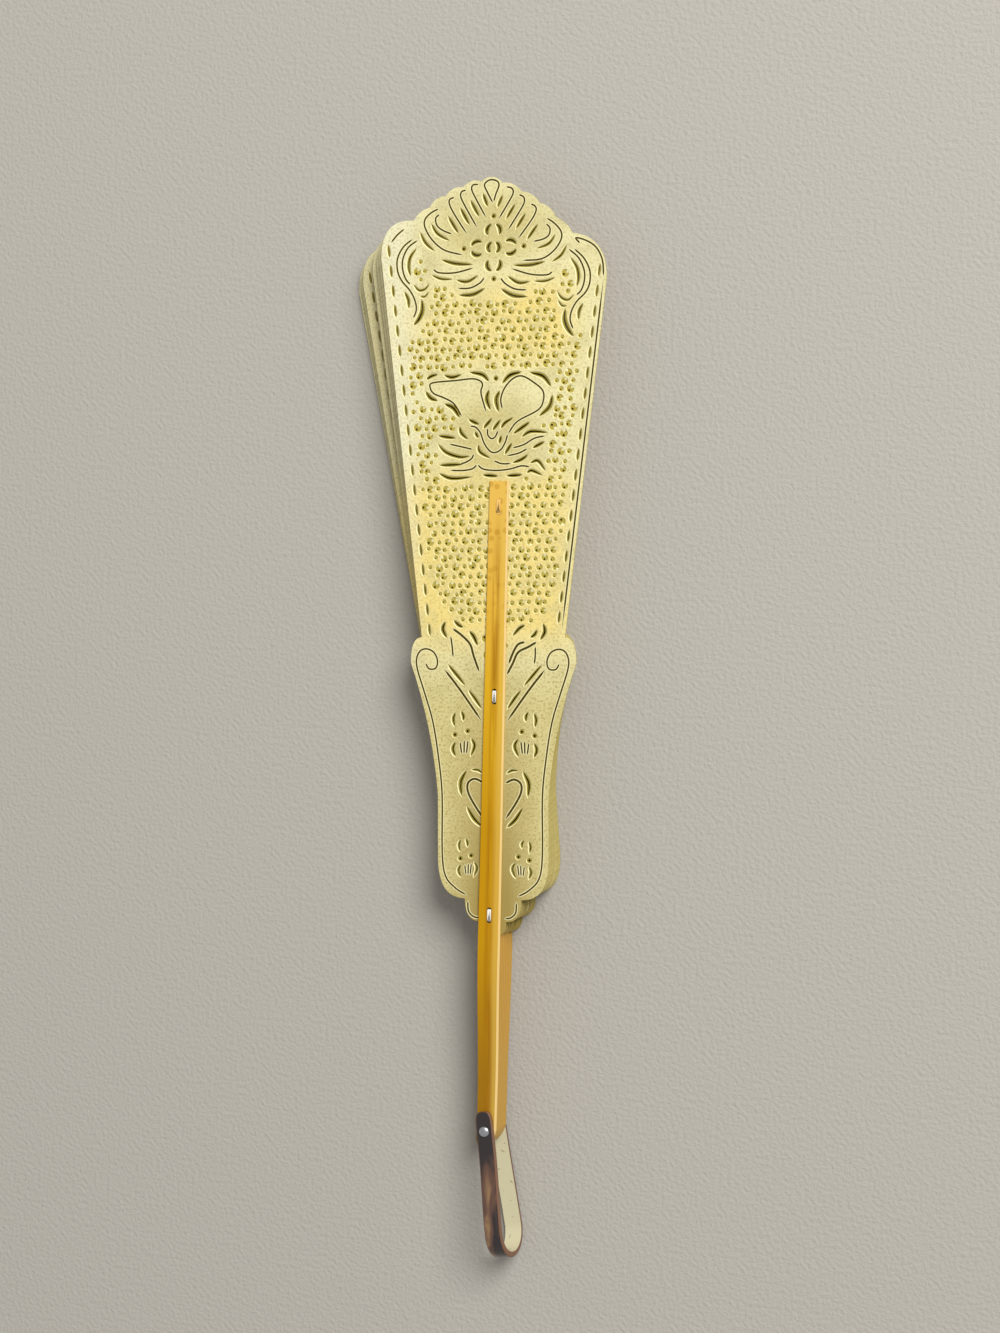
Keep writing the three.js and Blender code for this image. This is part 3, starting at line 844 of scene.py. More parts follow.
LOTUS = Motif((
    slit(1.0, (-8.0, 224.5), (-4.5, 222.8)),
    slit(1.0, (-0.3, 224.7), (-3.1, 221.5)),
    slit(1.0, (2.4, 224.1), (-0.1, 220.8)),
    slit(1.0, (6.6, 224.7), (3.9, 223.1), (2.7, 221.4)),
    slit(1.1, (12.0, 223.2), (9.6, 221.6), (6.6, 219.6)),
    score((-7.4, 222.4), (-5.6, 222.0), (-4.0, 220.2), (-2.9, 217.2), (-1.3, 214.8), (0.4, 213.9),
          (2.6, 214.7), (4.2, 217.2), (4.9, 219.6)),
    score((-1.6, 221.6), (-1.6, 219.6), (-0.4, 218.3), (0.9, 218.9), (1.8, 220.8)),
    slit(0.9, (2.7, 219.2), (2.1, 216.6)),
    slit(1.0, (-11.0, 222.3), (-10.3, 220.2), (-8.2, 218.2)),
    slit(0.9, (-5.9, 220.6), (-4.8, 218.6)),
    slit(0.9, (-4.8, 216.5), (-4.2, 214.2), (-0.8, 212.1)),
    slit(1.0, (6.2, 216.8), (3.9, 213.3)),
    slit(1.0, (-18.1, 219.6), (-12.2, 218.7)),
    score((-14.4, 216.9), (-10.0, 215.9), (-6.4, 215.0)),
    score((-6.2, 213.6), (-6.9, 212.2), (-8.7, 211.1), (-10.6, 210.6)),
    slit(1.0, (-18.1, 216.9), (-15.4, 214.3), (-11.0, 212.8), (-7.7, 212.9)),
    slit(1.0, (-17.8, 210.3), (-10.0, 210.4)),
    score((-14.1, 208.6), (-9.6, 208.5), (-6.6, 209.0), (-5.2, 210.2)),
    slit(1.0, (-17.8, 207.7), (-13.7, 206.1), (-6.8, 206.4)),
    slit(1.0, (9.4, 218.6), (12.4, 220.3), (18.0, 219.8)),
    score((6.4, 215.2), (10.2, 216.2), (13.6, 218.1), (17.2, 218.8)),
    slit(1.0, (12.9, 215.1), (16.8, 217.0)),
    score((4.6, 212.8), (8.6, 213.6), (11.4, 215.0)),
    score((0.3, 211.4), (3.0, 210.4), (6.0, 210.4)),
    slit(1.0, (6.4, 210.6), (9.3, 211.6), (11.4, 213.0)),
    score((-4.9, 210.2), (-3.0, 208.8), (1.2, 208.3), (5.8, 208.7), (9.4, 209.6), (12.2, 209.2)),
    slit(1.0, (4.4, 206.6), (9.6, 206.8)),
    slit(0.9, (11.1, 207.4), (12.7, 208.1), (16.2, 206.5)),
    slit(0.9, (12.1, 210.4), (14.7, 211.1), (17.2, 207.8)),
    slit(1.0, (-3.4, 207.0), (1.7, 206.5)),
), mirrored=False)

# Two pointed leaves at the waist, one on each side of the stick
POINTED_LEAVES = Motif((
    bold((-13.3, 158.8), (-10.1, 156.5), (-7.4, 153.7), (-6.3, 150.1), (-4.4, 145.0)),
    score((-13.9, 156.4), (-13.4, 153.0), (-13.1, 149.6)),
    slit(1.1, (-15.8, 160.9), (-16.6, 158.5), (-15.2, 155.7)),
    slit(1.0, (-12.9, 161.3), (-11.4, 159.9), (-9.9, 159.1)),
    slit(1.1, (-7.8, 157.9), (-6.3, 156.1), (-5.1, 153.3)),
    bold((14.4, 154.6), (11.6, 153.0), (8.3, 151.3), (6.6, 147.9), (4.6, 144.2)),
    bold((10.6, 154.6), (8.3, 153.8), (6.7, 151.3), (5.2, 147.6)),
    score((13.9, 153.2), (13.9, 150.4), (13.6, 147.6)),
    slit(1.0, (14.3, 158.3), (13.6, 156.9), (12.2, 155.9)),
    slit(1.1, (16.4, 160.3), (16.9, 157.7), (15.4, 155.1)),
    slit(1.0, (10.4, 159.8), (8.6, 158.8), (6.4, 156.4)),
), mirrored=False)

# Chevrons that slope in to the stick
LOWER_AXIS = 0.5
CHEVRONS = Motif((
    slit(0.9, (15.4, 147.4), (12.6, 144.2), (9.6, 140.7)),
    slit(0.9, (8.6, 139.4), (6.4, 136.6), (4.2, 133.4)),
    bold((16.6, 146.0), (11.2, 139.3), (4.0, 129.4)),
), axis=LOWER_AXIS)

# The line that scrolls over the ears and follows the edge down to the foot
EDGE_LINE = Motif((
    score((22.0, 147.8), (20.8, 146.0), (18.6, 146.2), (18.0, 148.6), (19.2, 151.2), (21.6, 152.3),
          (23.8, 151.6), (25.0, 149.0), (24.6, 145.4), (22.4, 138.6), (19.6, 129.4), (17.7, 118.0),
          (16.5, 106.0), (16.5, 88.0), (15.4, 80.4), (12.0, 76.6), (8.4, 74.6)),
    score((8.0, 72.8), (7.8, 69.6), (6.2, 67.9), (4.2, 67.5)),
), axis=-0.3)

HEART = Motif((
    bold((3.6, 110.2), (6.4, 111.4), (8.6, 110.2), (8.8, 107.6), (7.2, 104.2), (3.6, 98.8)),
    slit(1.2, (9.3, 114.0), (11.2, 110.2), (10.9, 105.8)),
    slit(1.1, (9.2, 102.6), (6.8, 98.8), (4.0, 96.2)),
    slit(0.7, (4.0, 113.2), (5.6, 114.2), (7.6, 114.2)),
), axis=LOWER_AXIS)


def tulip(x: float, y: float, size: float) -> Motif:
    """A tulip in bud with two flames over it, and its twin on the other half.

    Args:
        x: The bud's middle, to the right.
        y: The bud's middle, up from the rivet.
        size: Its size beside the larger pair.

    Returns:
        The motif.
    """
    shape = (
        slit(0.9, (0.9, 11.6), (0.2, 10.2), (0.2, 8.6)),
        slit(0.9, (2.9, 11.2), (3.5, 9.2), (3.1, 6.8)),
        slit(1.0, (-2.4, 3.2), (-3.5, 0.8), (-2.2, -2.6)),
        slit(1.0, (2.9, 1.9), (3.7, -0.3), (2.8, -2.7)),
        score((-1.4, 2.6), (-0.9, -1.8)),
        score((-0.2, 2.6), (-0.1, -1.8)),
        score((1.2, 2.0), (0.7, -1.8)),
    )
    bud_dots = ((-1.2, 5.4), (3.0, 4.2))

    def placed(points: tuple[Point, ...]) -> tuple[Point, ...]:
        """Points of the bud on the leaf."""
        return tuple((x + size * across, y + size * up) for across, up in points)

    strokes = tuple(Stroke(stroke.cut, stroke.width * size, placed(stroke.points)) for stroke in shape)
    return Motif(strokes, placed(bud_dots), axis=LOWER_AXIS)


def flower() -> Motif:
    """The flower in the palmette's middle: four petals, each of two crescents, round a ring of two.

    Returns:
        The motif.
    """
    middle = Vector((0.3, 278.0))
    petal_reach, petal_radius, dot_reach, ring_radius = 5.2, 2.2, 9.8, 1.8
    width = 1.2
    inner, outer = 20, 125
    ring_arcs = ((110, 235), (-65, 70))
    strokes = []
    dots = []

    def arc(around: Vector, radius: float, start: float, end: float) -> Stroke:
        """A slit through five points of an arc, angles in degrees."""
        turns = [math.radians(start + (end - start) * step / 4) for step in range(5)]
        return slit(width, *[
            (around.x + radius * math.cos(turn), around.y + radius * math.sin(turn)) for turn in turns
        ])

    for facing in (0, 90, 180, 270):
        way = Vector((math.cos(math.radians(facing)), math.sin(math.radians(facing))))
        petal = middle + way * petal_reach
        strokes.append(arc(petal, petal_radius, facing + inner, facing + outer))
        strokes.append(arc(petal, petal_radius, facing - outer, facing - inner))
        dots.append(tuple(middle + way * dot_reach))
    strokes += [arc(middle, ring_radius, start, end) for start, end in ring_arcs]
    return Motif(tuple(strokes), tuple(dots), mirrored=False, on_crown=True)


# The middle and the size of each pair of tulips
TULIPS = ((10.1, 121.0, 1.0), (8.8, 82.5, 0.85))

Lines = list[tuple[Cut, list[Vector]]]

# Ellipses that the dotted field leaves clear round the wings and the lotus: middle, then reach
FIELD_CLEARINGS = (
    ((-11.5, 232.5), (10.0, 5.5)),
    ((10.0, 230.5), (7.5, 8.0)),
    ((0.0, 214.0), (18.5, 9.0)),
    ((-0.5, 226.0), (8.0, 4.0)),
    ((0.5, 235.0), (2.5, 4.0)),
)


@dataclass
class LeafDrawing:
    """The outline of a leaf and everything that is cut or scored in it."""

    motifs: tuple[Motif, ...]
    drop: float = 0.0
    top: float = 300.0
    dome_half: float = 25.9
    dome_rise: float = 15.5
    dome_flat: float = 1.4
    petals: int = 9
    petal_notch: float = 0.9
    shoulder_half: float = 36.9
    shoulder_drop: float = 12.9
    crown_slope: float = 0.12
    waist_half: float = 23.5
    waist_at: float = 156.0
    ear_half: float = 27.2
    ear_at: float = 148.0
    ear_sweep: float = 1.6
    panel_half: float = 18.2
    panel_top: float = 106.0
    panel_foot: float = 86.0
    foot_half: float = 9.3
    foot_at: float = 73.5
    lobe_half: float = 4.3
    lobe_at: float = 66.4
    leaf_foot: float = 61.6
    dash_pitch: float = 6.35
    dash_length: float = 4.0
    dash_width: float = 0.75
    dash_inset: float = 2.7
    dash_margin: float = -4.0
    edge_line_inset: float = 1.0
    edge_line_stop: float = 2.0
    edge_line_at: tuple[float, ...] = (0, 0.33, 0.67, 1)
    field_top: float = 262.0
    field_top_curve: float = 0.02
    field_top_slope: float = 0.06
    field_foot: float = 148.0
    field_foot_curve: float = 0.06
    field_inset: float = 5.2
    dot_pitch: float = 2.75
    dot_stagger: float = 0.25
    dot_jitter: float = 0.45
    dot_clearance: float = 0.7
    dot_spread: Point = (0.85, 1.1)
    spare_rows: int = 4
    large_dot: float = 1.17
    small_dot: float = 0.7
    motif_dot: float = 0.85
    tongue_from: float = 0.85
    scroll_half: float = 26.0
    scroll_foot: float = 251.0
    notch_facing: float = 45.0
    notch_spread: float = 50.0
    pierced_share: float = 0.3
    pierced_offset: float = 0.45
    slit_share: float = 0.5
    slit_ends: float = 0.05
    rim: float = 0.3
    dot_rim: float = 0.2
    groove_rim: float = 0.22
    curve_steps: int = 8
    shoulder_steps: int = 12

    def dome_radius(self) -> float:
        """The radius of the palmette's arc."""
        return (self.dome_half ** 2 + self.dome_rise ** 2) / (2 * self.dome_rise)

    def dome_point(self, angle: float, offset: float) -> Point:
        """A point on the palmette's arc with its flattened flanks, or off it by an offset."""
        radius = self.dome_radius()
        share = min(angle / math.asin(self.dome_half / radius), 1)
        reach = radius + offset - self.dome_flat * math.sin(math.pi * share)
        return (reach * math.sin(angle), self.top - radius + reach * math.cos(angle))

    def shoulder(self, side: int) -> Vector:
        """The widest point of one half."""
        y = self.top - self.drop - self.dome_rise - self.shoulder_drop
        return Vector((side * self.shoulder_half, y - self.crown_slope * side * self.shoulder_half))

    def half_edge(self, side: int) -> list[Vector]:
        """Draws one half of the edge, from the tip of the palmette to the foot.

        Args:
            side: 1 for the right half, -1 for the left.

        Returns:
            Its points.
        """
        petal_turn = 2 * math.asin(self.dome_half / self.dome_radius()) / self.petals
        crown = [Vector((0, self.top))]
        for petal in range(self.petals // 2 + 1):
            crest = self.dome_point(petal * petal_turn, self.petal_notch)
            if petal == 0:
                crest = self.dome_point(petal_turn / 4, self.petal_notch / 2)
            depth = 0 if petal == self.petals // 2 else -self.petal_notch
            notch = self.dome_point((petal + 0.5) * petal_turn, depth)
            crown += quadratic(crown[-1], crest, notch, self.curve_steps)
        foot_y = self.top - self.dome_rise
        widest = (self.shoulder_half, foot_y - self.shoulder_drop)
        crown += quadratic(crown[-1], (self.shoulder_half, foot_y), widest, self.shoulder_steps)
        body = [Vector((self.waist_half, self.waist_at))]
        sweep_at = (self.panel_half + self.ear_sweep, (self.ear_at + self.panel_top) / 2)
        upper = (
            ((self.ear_half, self.waist_at), (self.ear_half, self.ear_at)),
            (sweep_at, (self.panel_half, self.panel_top)),
        )
        lower = (
            ((self.panel_half, self.foot_at), (self.foot_half, self.foot_at)),
            ((self.foot_half, self.lobe_at), (self.lobe_half, self.lobe_at)),
            ((self.lobe_half, self.leaf_foot), (0, self.leaf_foot)),
        )
        for control, end in upper:
            body += quadratic(body[-1], control, end, self.curve_steps)
        body += [Vector((self.panel_half, self.panel_foot))]
        for control, end in lower:
            body += quadratic(body[-1], control, end, self.curve_steps)
        sloped = [Vector((side * p.x, p.y - self.drop - self.crown_slope * side * p.x)) for p in crown]
        return sloped + [Vector((side * p.x, p.y)) for p in body]

    def outline(self) -> list[Vector]:
        """The whole edge, anticlockwise."""
        right = self.half_edge(1)
        left = self.half_edge(-1)
        return [*left, *reversed(right[1:-1])]

    def dashes(self) -> list[Stroke]:
        """Cuts the row of slits along each side, and scores the line outside the right one.

        Returns:
            The strokes.
        """
        strokes = []
        for side in (1, -1):
            top = self.shoulder(side)
            foot = Vector((side * self.waist_half, self.waist_at))
            along = (foot - top).normalized()
            inward = Vector((along.y, -along.x)) * side
            reach = self.dash_margin
            while reach + self.dash_length < (foot - top).length:
                start = top + along * reach + inward * self.dash_inset
                strokes.append(slit(self.dash_width, tuple(start), tuple(start + along * self.dash_length)))
                reach += self.dash_pitch
        start = self.shoulder(1) - Vector((self.edge_line_inset, 0))
        end = Vector((self.waist_half - self.edge_line_inset, self.waist_at + self.edge_line_stop))
        strokes.append(score(*[tuple(start.lerp(end, share)) for share in self.edge_line_at]))
        return strokes

    def strokes(self) -> list[Stroke]:
        """Every stroke in the leaf."""
        return [stroke for motif in self.motifs for stroke in motif.all_strokes(self.drop)] + self.dashes()

    def in_field(self, x: float, y: float) -> bool:
        """Whether the dotted field covers a point.

        Args:
            x: To the right of the middle line.
            y: Up from the rivet.

        Returns:
            True inside the field and clear of the wings and the lotus.
        """
        shoulder_y = self.top - self.dome_rise - self.shoulder_drop
        share = (y - self.waist_at) / (shoulder_y - self.waist_at)
        half = self.waist_half + (self.shoulder_half - self.waist_half) * share
        ceiling = self.field_top - self.drop + self.field_top_curve * x * x - self.field_top_slope * x
        floor = self.field_foot + self.field_foot_curve * x * x
        if abs(x) > half - self.field_inset or not floor < y < ceiling:
            return False
        if abs(x) > self.scroll_half and y > self.scroll_foot - self.drop:
            return False
        return all(
            ((x - middle[0]) / reach[0]) ** 2 + ((y - middle[1]) / reach[1]) ** 2 > 1
            for middle, reach in FIELD_CLEARINGS
        )

    def dots(self, strokes: list[Stroke], rng: random.Random) -> list[Point3]:
        """Punches the field with large and small dots by turns, clear of the strokes.

        Args:
            strokes: What is already cut.
            rng: The source of the hand's unevenness.

        Returns:
            Each dot's place and radius.
        """
        marks = [spot for stroke in strokes for spot in stroke.loop()]
        stitches = [Vector((0, y)) for stitch in Stitch for y in stitch.holes()]
        near = kdtree.KDTree(len(marks) + len(stitches))
        for place, spot in enumerate([*marks, *stitches]):
            near.insert((spot.x, spot.y, 0), place)
        near.balance()
        dots = []
        rows = int((self.top - self.waist_at) / self.dot_pitch) + self.spare_rows
        columns = int(self.shoulder_half / self.dot_pitch)
        for row in range(-self.spare_rows, rows):
            for column in range(-columns, columns + 1):
                across = column + self.dot_stagger * (row % 3)
                x = across * self.dot_pitch + rng.uniform(-1, 1) * self.dot_jitter
                y = self.waist_at + row * self.dot_pitch + rng.uniform(-1, 1) * self.dot_jitter
                radius = self.large_dot if (row + column) % 2 else self.small_dot
                radius *= rng.uniform(*self.dot_spread)
                if self.in_field(x, y) and near.find((x, y, 0))[2] > radius + self.dot_clearance:
                    dots.append((x, y, radius))
        return dots

    def loops(self) -> Lines:
        """Draws every closed line of the leaf.

        Returns:
            What each line bounds, and its points.
        """
        rng = random.Random(SEED)
        strokes = self.strokes()
        lines = [(Cut.OUTLINE, self.outline())]
        for stroke in strokes:
            if stroke.cut is Cut.SCORE:
                lines += [(Cut.RIM, stroke.loop(self.groove_rim)), (Cut.SCORE, stroke.loop())]
                continue
            lines += [
                (Cut.RIM, stroke.loop(self.rim)),
                (Cut.FLAP, stroke.loop()),
                (Cut.SLIT, stroke.loop(-self.slit_ends, self.slit_share)),
            ]
        for x, y in [spot for motif in self.motifs for spot in motif.all_dots(self.drop)]:
            lines += [
                (Cut.RIM, punch(x, y, self.motif_dot + self.dot_rim)),
                (Cut.FLAP, punch(x, y, self.motif_dot)),
                (Cut.SLIT, punch(x, y, self.slit_share * self.motif_dot)),
            ]
        for x, y, radius in self.dots(strokes, rng):
            turn = math.radians(rng.gauss(self.notch_facing, self.notch_spread))
            hole = Vector((x, y)) - Vector((math.cos(turn), math.sin(turn))) * radius * self.pierced_offset
            lines += [
                (Cut.RIM, punch(x, y, radius + self.dot_rim, turn)),
                (Cut.DISC, punch(x, y, radius, turn, radius > self.tongue_from)),
                (Cut.SLIT, punch(hole.x, hole.y, self.pierced_share * radius, turn)),
            ]
        return lines


def punch(x: float, y: float, radius: float, turn: float = 0.0, notched: bool = False) -> list[Vector]:
    """Outlines a punched hole.

    Args:
        x: Its middle.
        y: Its middle.
        radius: Its radius.
        turn: The way that its notch faces, in radians.
        notched: Whether a tongue is left standing in it.

    Returns:
        The points of its outline.
    """
    sides = TONGUE_SIDES if notched else PUNCH_SIDES
    loop = []
    for side in range(sides):
        angle = turn + math.tau * side / sides
        reach = TONGUE_REACH * radius if notched and side == 0 else radius
        loop.append(Vector((x + reach * math.cos(angle), y + reach * math.sin(angle))))
    return loop


@dataclass
class Stick:
    """A horn stick: a strip that bends from the rivet's stack to its leaf, bevelled along its front edges."""

    number: int
    top: float = 205.0
    heel: float = 5.5
    heel_lean: float = 1.4
    widths: Point3 = (6.4, 7.4, 6.4)
    thicknesses: Point3 = (1.2, 0.8, 0.5)
    left_bevel: float = 0.25
    right_bevel: float = 0.6
    right_limit: float = 0.8
    left_limit: float = 0.2
    bevel_share: float = 0.5
    bow_step: float = 0.12
    bend_start: float = 12.0
    bend_end: float = 57.0
    pivot_base: float = 2.85
    pivot_pitch: float = 1.45
    rivet_hole: float = 1.25
    groove_width: float = 1.5
    groove_depth: float = 0.35
    bend_steps: int = 16
    upper_steps: int = 12
    drill_length: float = 12.0
    stitch_hole_sides: int = 16

    def layer(self) -> float:
        """The height of the back of this blade's leaf."""
        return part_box(f"leaf_{self.number}")[0].z / MM

    def seat(self) -> float:
        """The stick's underside over its leaf, measured from the back of the leaf."""
        low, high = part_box(f"leaf_{self.number}")
        return (high.z - low.z) / MM + SEAT_GAP

    def tapered(self, y: float, start: float, sizes: Point3) -> float:
        """A size that runs evenly to the end of the bend, and from there to the top.

        Args:
            y: The distance from the rivet.
            start: The distance at which it begins to change.
            sizes: The size at the rivet, at the end of the bend and at the top.

        Returns:
            The size there.
        """
        pivot, foot, top = sizes
        if y < self.bend_end:
            return pivot + (foot - pivot) * max((y - start) / (self.bend_end - start), 0)
        return foot + (top - foot) * (y - self.bend_end) / (self.top - self.bend_end)

    def thickness(self, y: float) -> float:
        """The stick's thickness at a distance from the rivet."""
        return self.tapered(y, self.bend_start, self.thicknesses)

    def half_width(self, y: float) -> float:
        """Half the stick's width at a distance from the rivet."""
        return self.tapered(y, 0, self.widths) / 2

    def bow(self, y: float) -> float:
        """How far the stick's middle line bows to the right."""
        share = y / self.top
        return 4 * self.bow_step * (self.number - 1) * share * (1 - share)

    def underside(self, y: float) -> float:
        """The stick's underside at a distance from the rivet, measured from the back of the leaf."""
        pivot = self.pivot_base + (BLADES - self.number) * self.pivot_pitch - self.layer()
        share = (y - self.bend_start) / (self.bend_end - self.bend_start)
        return pivot + (self.seat() - pivot) * eased(share)

    def ring(self, y: float, half: float, x: float) -> list[Vector]:
        """The stick's section at a distance from the rivet.

        Args:
            y: The distance.
            half: Half the width there.
            x: The middle of the section.

        Returns:
            Its six points, from the lower left round to the upper left.
        """
        thick = self.thickness(y)
        low = self.underside(y)
        shoulder = thick * (1 - self.bevel_share)
        right = min(self.right_bevel, self.right_limit * half)
        left = min(self.left_bevel, self.left_limit * half)
        section = (
            (-half, 0), (half, 0), (half, shoulder),
            (half - right, thick), (left - half, thick), (-half, shoulder),
        )
        return [Vector((x + across, y, low + up)) for across, up in section]

    def build(self, placing: Matrix) -> Object:
        """Sweeps the stick, cuts its holes and grooves and puts it in place.

        Args:
            placing: The blade's place.

        Returns:
            The stick.
        """
        rings = []
        for turn in END_TURNS:
            angle = math.radians(turn)
            reach = math.sin(angle)
            half = self.half_width(0) * math.cos(angle)
            rings.append(self.ring(-self.heel * reach, half, -self.heel_lean * reach))
        bend = self.bend_end - self.bend_start
        upper = self.top - self.bend_end
        stations = [0.0, self.bend_start / 2]
        stations += [self.bend_start + bend * step / self.bend_steps for step in range(self.bend_steps)]
        stations += [self.bend_end + upper * step / self.upper_steps for step in range(self.upper_steps + 1)]
        rings += [self.ring(y, self.half_width(y), self.bow(y)) for y in stations]
        right_bevel = {2, 3}
        bm = bmesh.new()
        around = sweep(bm, rings)
        for face in bm.faces:
            if {vert[around] for vert in face.verts} == right_bevel:
                face.material_index = Strip.BEVEL
        # Painted highlight on the front stick's right bevel, painted shade on the other sticks' bevels.
        bevel = FRONT_BEVEL_PAINTED_HIGHLIGHT if self.number == 1 else REAR_BEVEL_PAINTED_SHADE
        stick = finished(bm, f"horn_stick_{self.number}", (AMBER_HORN, bevel, PIT))
        drill(stick, self.cutters())
        bm = bmesh.new()
        bm.from_mesh(stick.data)
        unrolled(bm, lambda spot: spot.xy + Vector((STICK_PITCH * self.number - self.bow(spot.y), 0)))
        bm.transform(placing)
        bm.to_mesh(stick.data)
        bm.free()
        return stick

    def holes(self) -> list[Vector]:
        """The middles of the stitches' holes."""
        return [Vector((self.bow(stitch.value), y)) for stitch in Stitch for y in stitch.holes()]

    def cutters(self) -> BMesh:
        """Makes the drills for the rivet and the stitches, and the blades that groove it under the sunk ones.

        Returns:
            The tools as one bmesh.
        """
        tall = self.drill_length
        bm = bmesh.new()
        rod(bm, self.rivet_hole, tall, (0, 0, self.underside(0)), BORE_SIDES)
        for hole in self.holes():
            rod(bm, STITCH_HOLE, tall, (hole.x, hole.y, self.seat()), self.stitch_hole_sides)
        # The rivet's bore and the middle and lower stitches' holes are painted dark brown: painted shade in
        # the holes.
        for face in bm.faces:
            if abs(face.calc_center_median().y - Stitch.UPPER.value) > STITCH_SPAN:
                face.material_index = Strip.PIT
        for stitch in (Stitch.MIDDLE, Stitch.LOWER):
            floor = self.seat() + self.thickness(stitch.value) - self.groove_depth
            size = Matrix.Diagonal((self.groove_width, STITCH_SPAN, tall, 1))
            place = Matrix.Translation((self.bow(stitch.value), stitch.value, floor + tall / 2))
            bmesh.ops.create_cube(bm, size=1, matrix=place @ size)
        return bm


def drill(piece: Object, tools: BMesh) -> None:
    """Cuts tools out of a piece.

    Args:
        piece: The piece, whose mesh is replaced by the cut one.
        tools: The tools, which are freed.
    """
    mesh = bpy.data.meshes.new("tools")
    tools.to_mesh(mesh)
    tools.free()
    cutter = bpy.data.objects.new("tools", mesh)
    bpy.context.scene.collection.objects.link(cutter)
    modifier = piece.modifiers.new("cut", "BOOLEAN")
    modifier.operation = "DIFFERENCE"
    modifier.solver = "EXACT"
    modifier.use_self = True
    modifier.object = cutter
    whole = piece.evaluated_get(bpy.context.evaluated_depsgraph_get())
    bm = bmesh.new()
    bm.from_mesh(whole.to_mesh())
    whole.to_mesh_clear()
    piece.modifiers.clear()
    bm.to_mesh(piece.data)
    bm.free()
    bpy.data.objects.remove(cutter)
    bpy.data.meshes.remove(mesh)


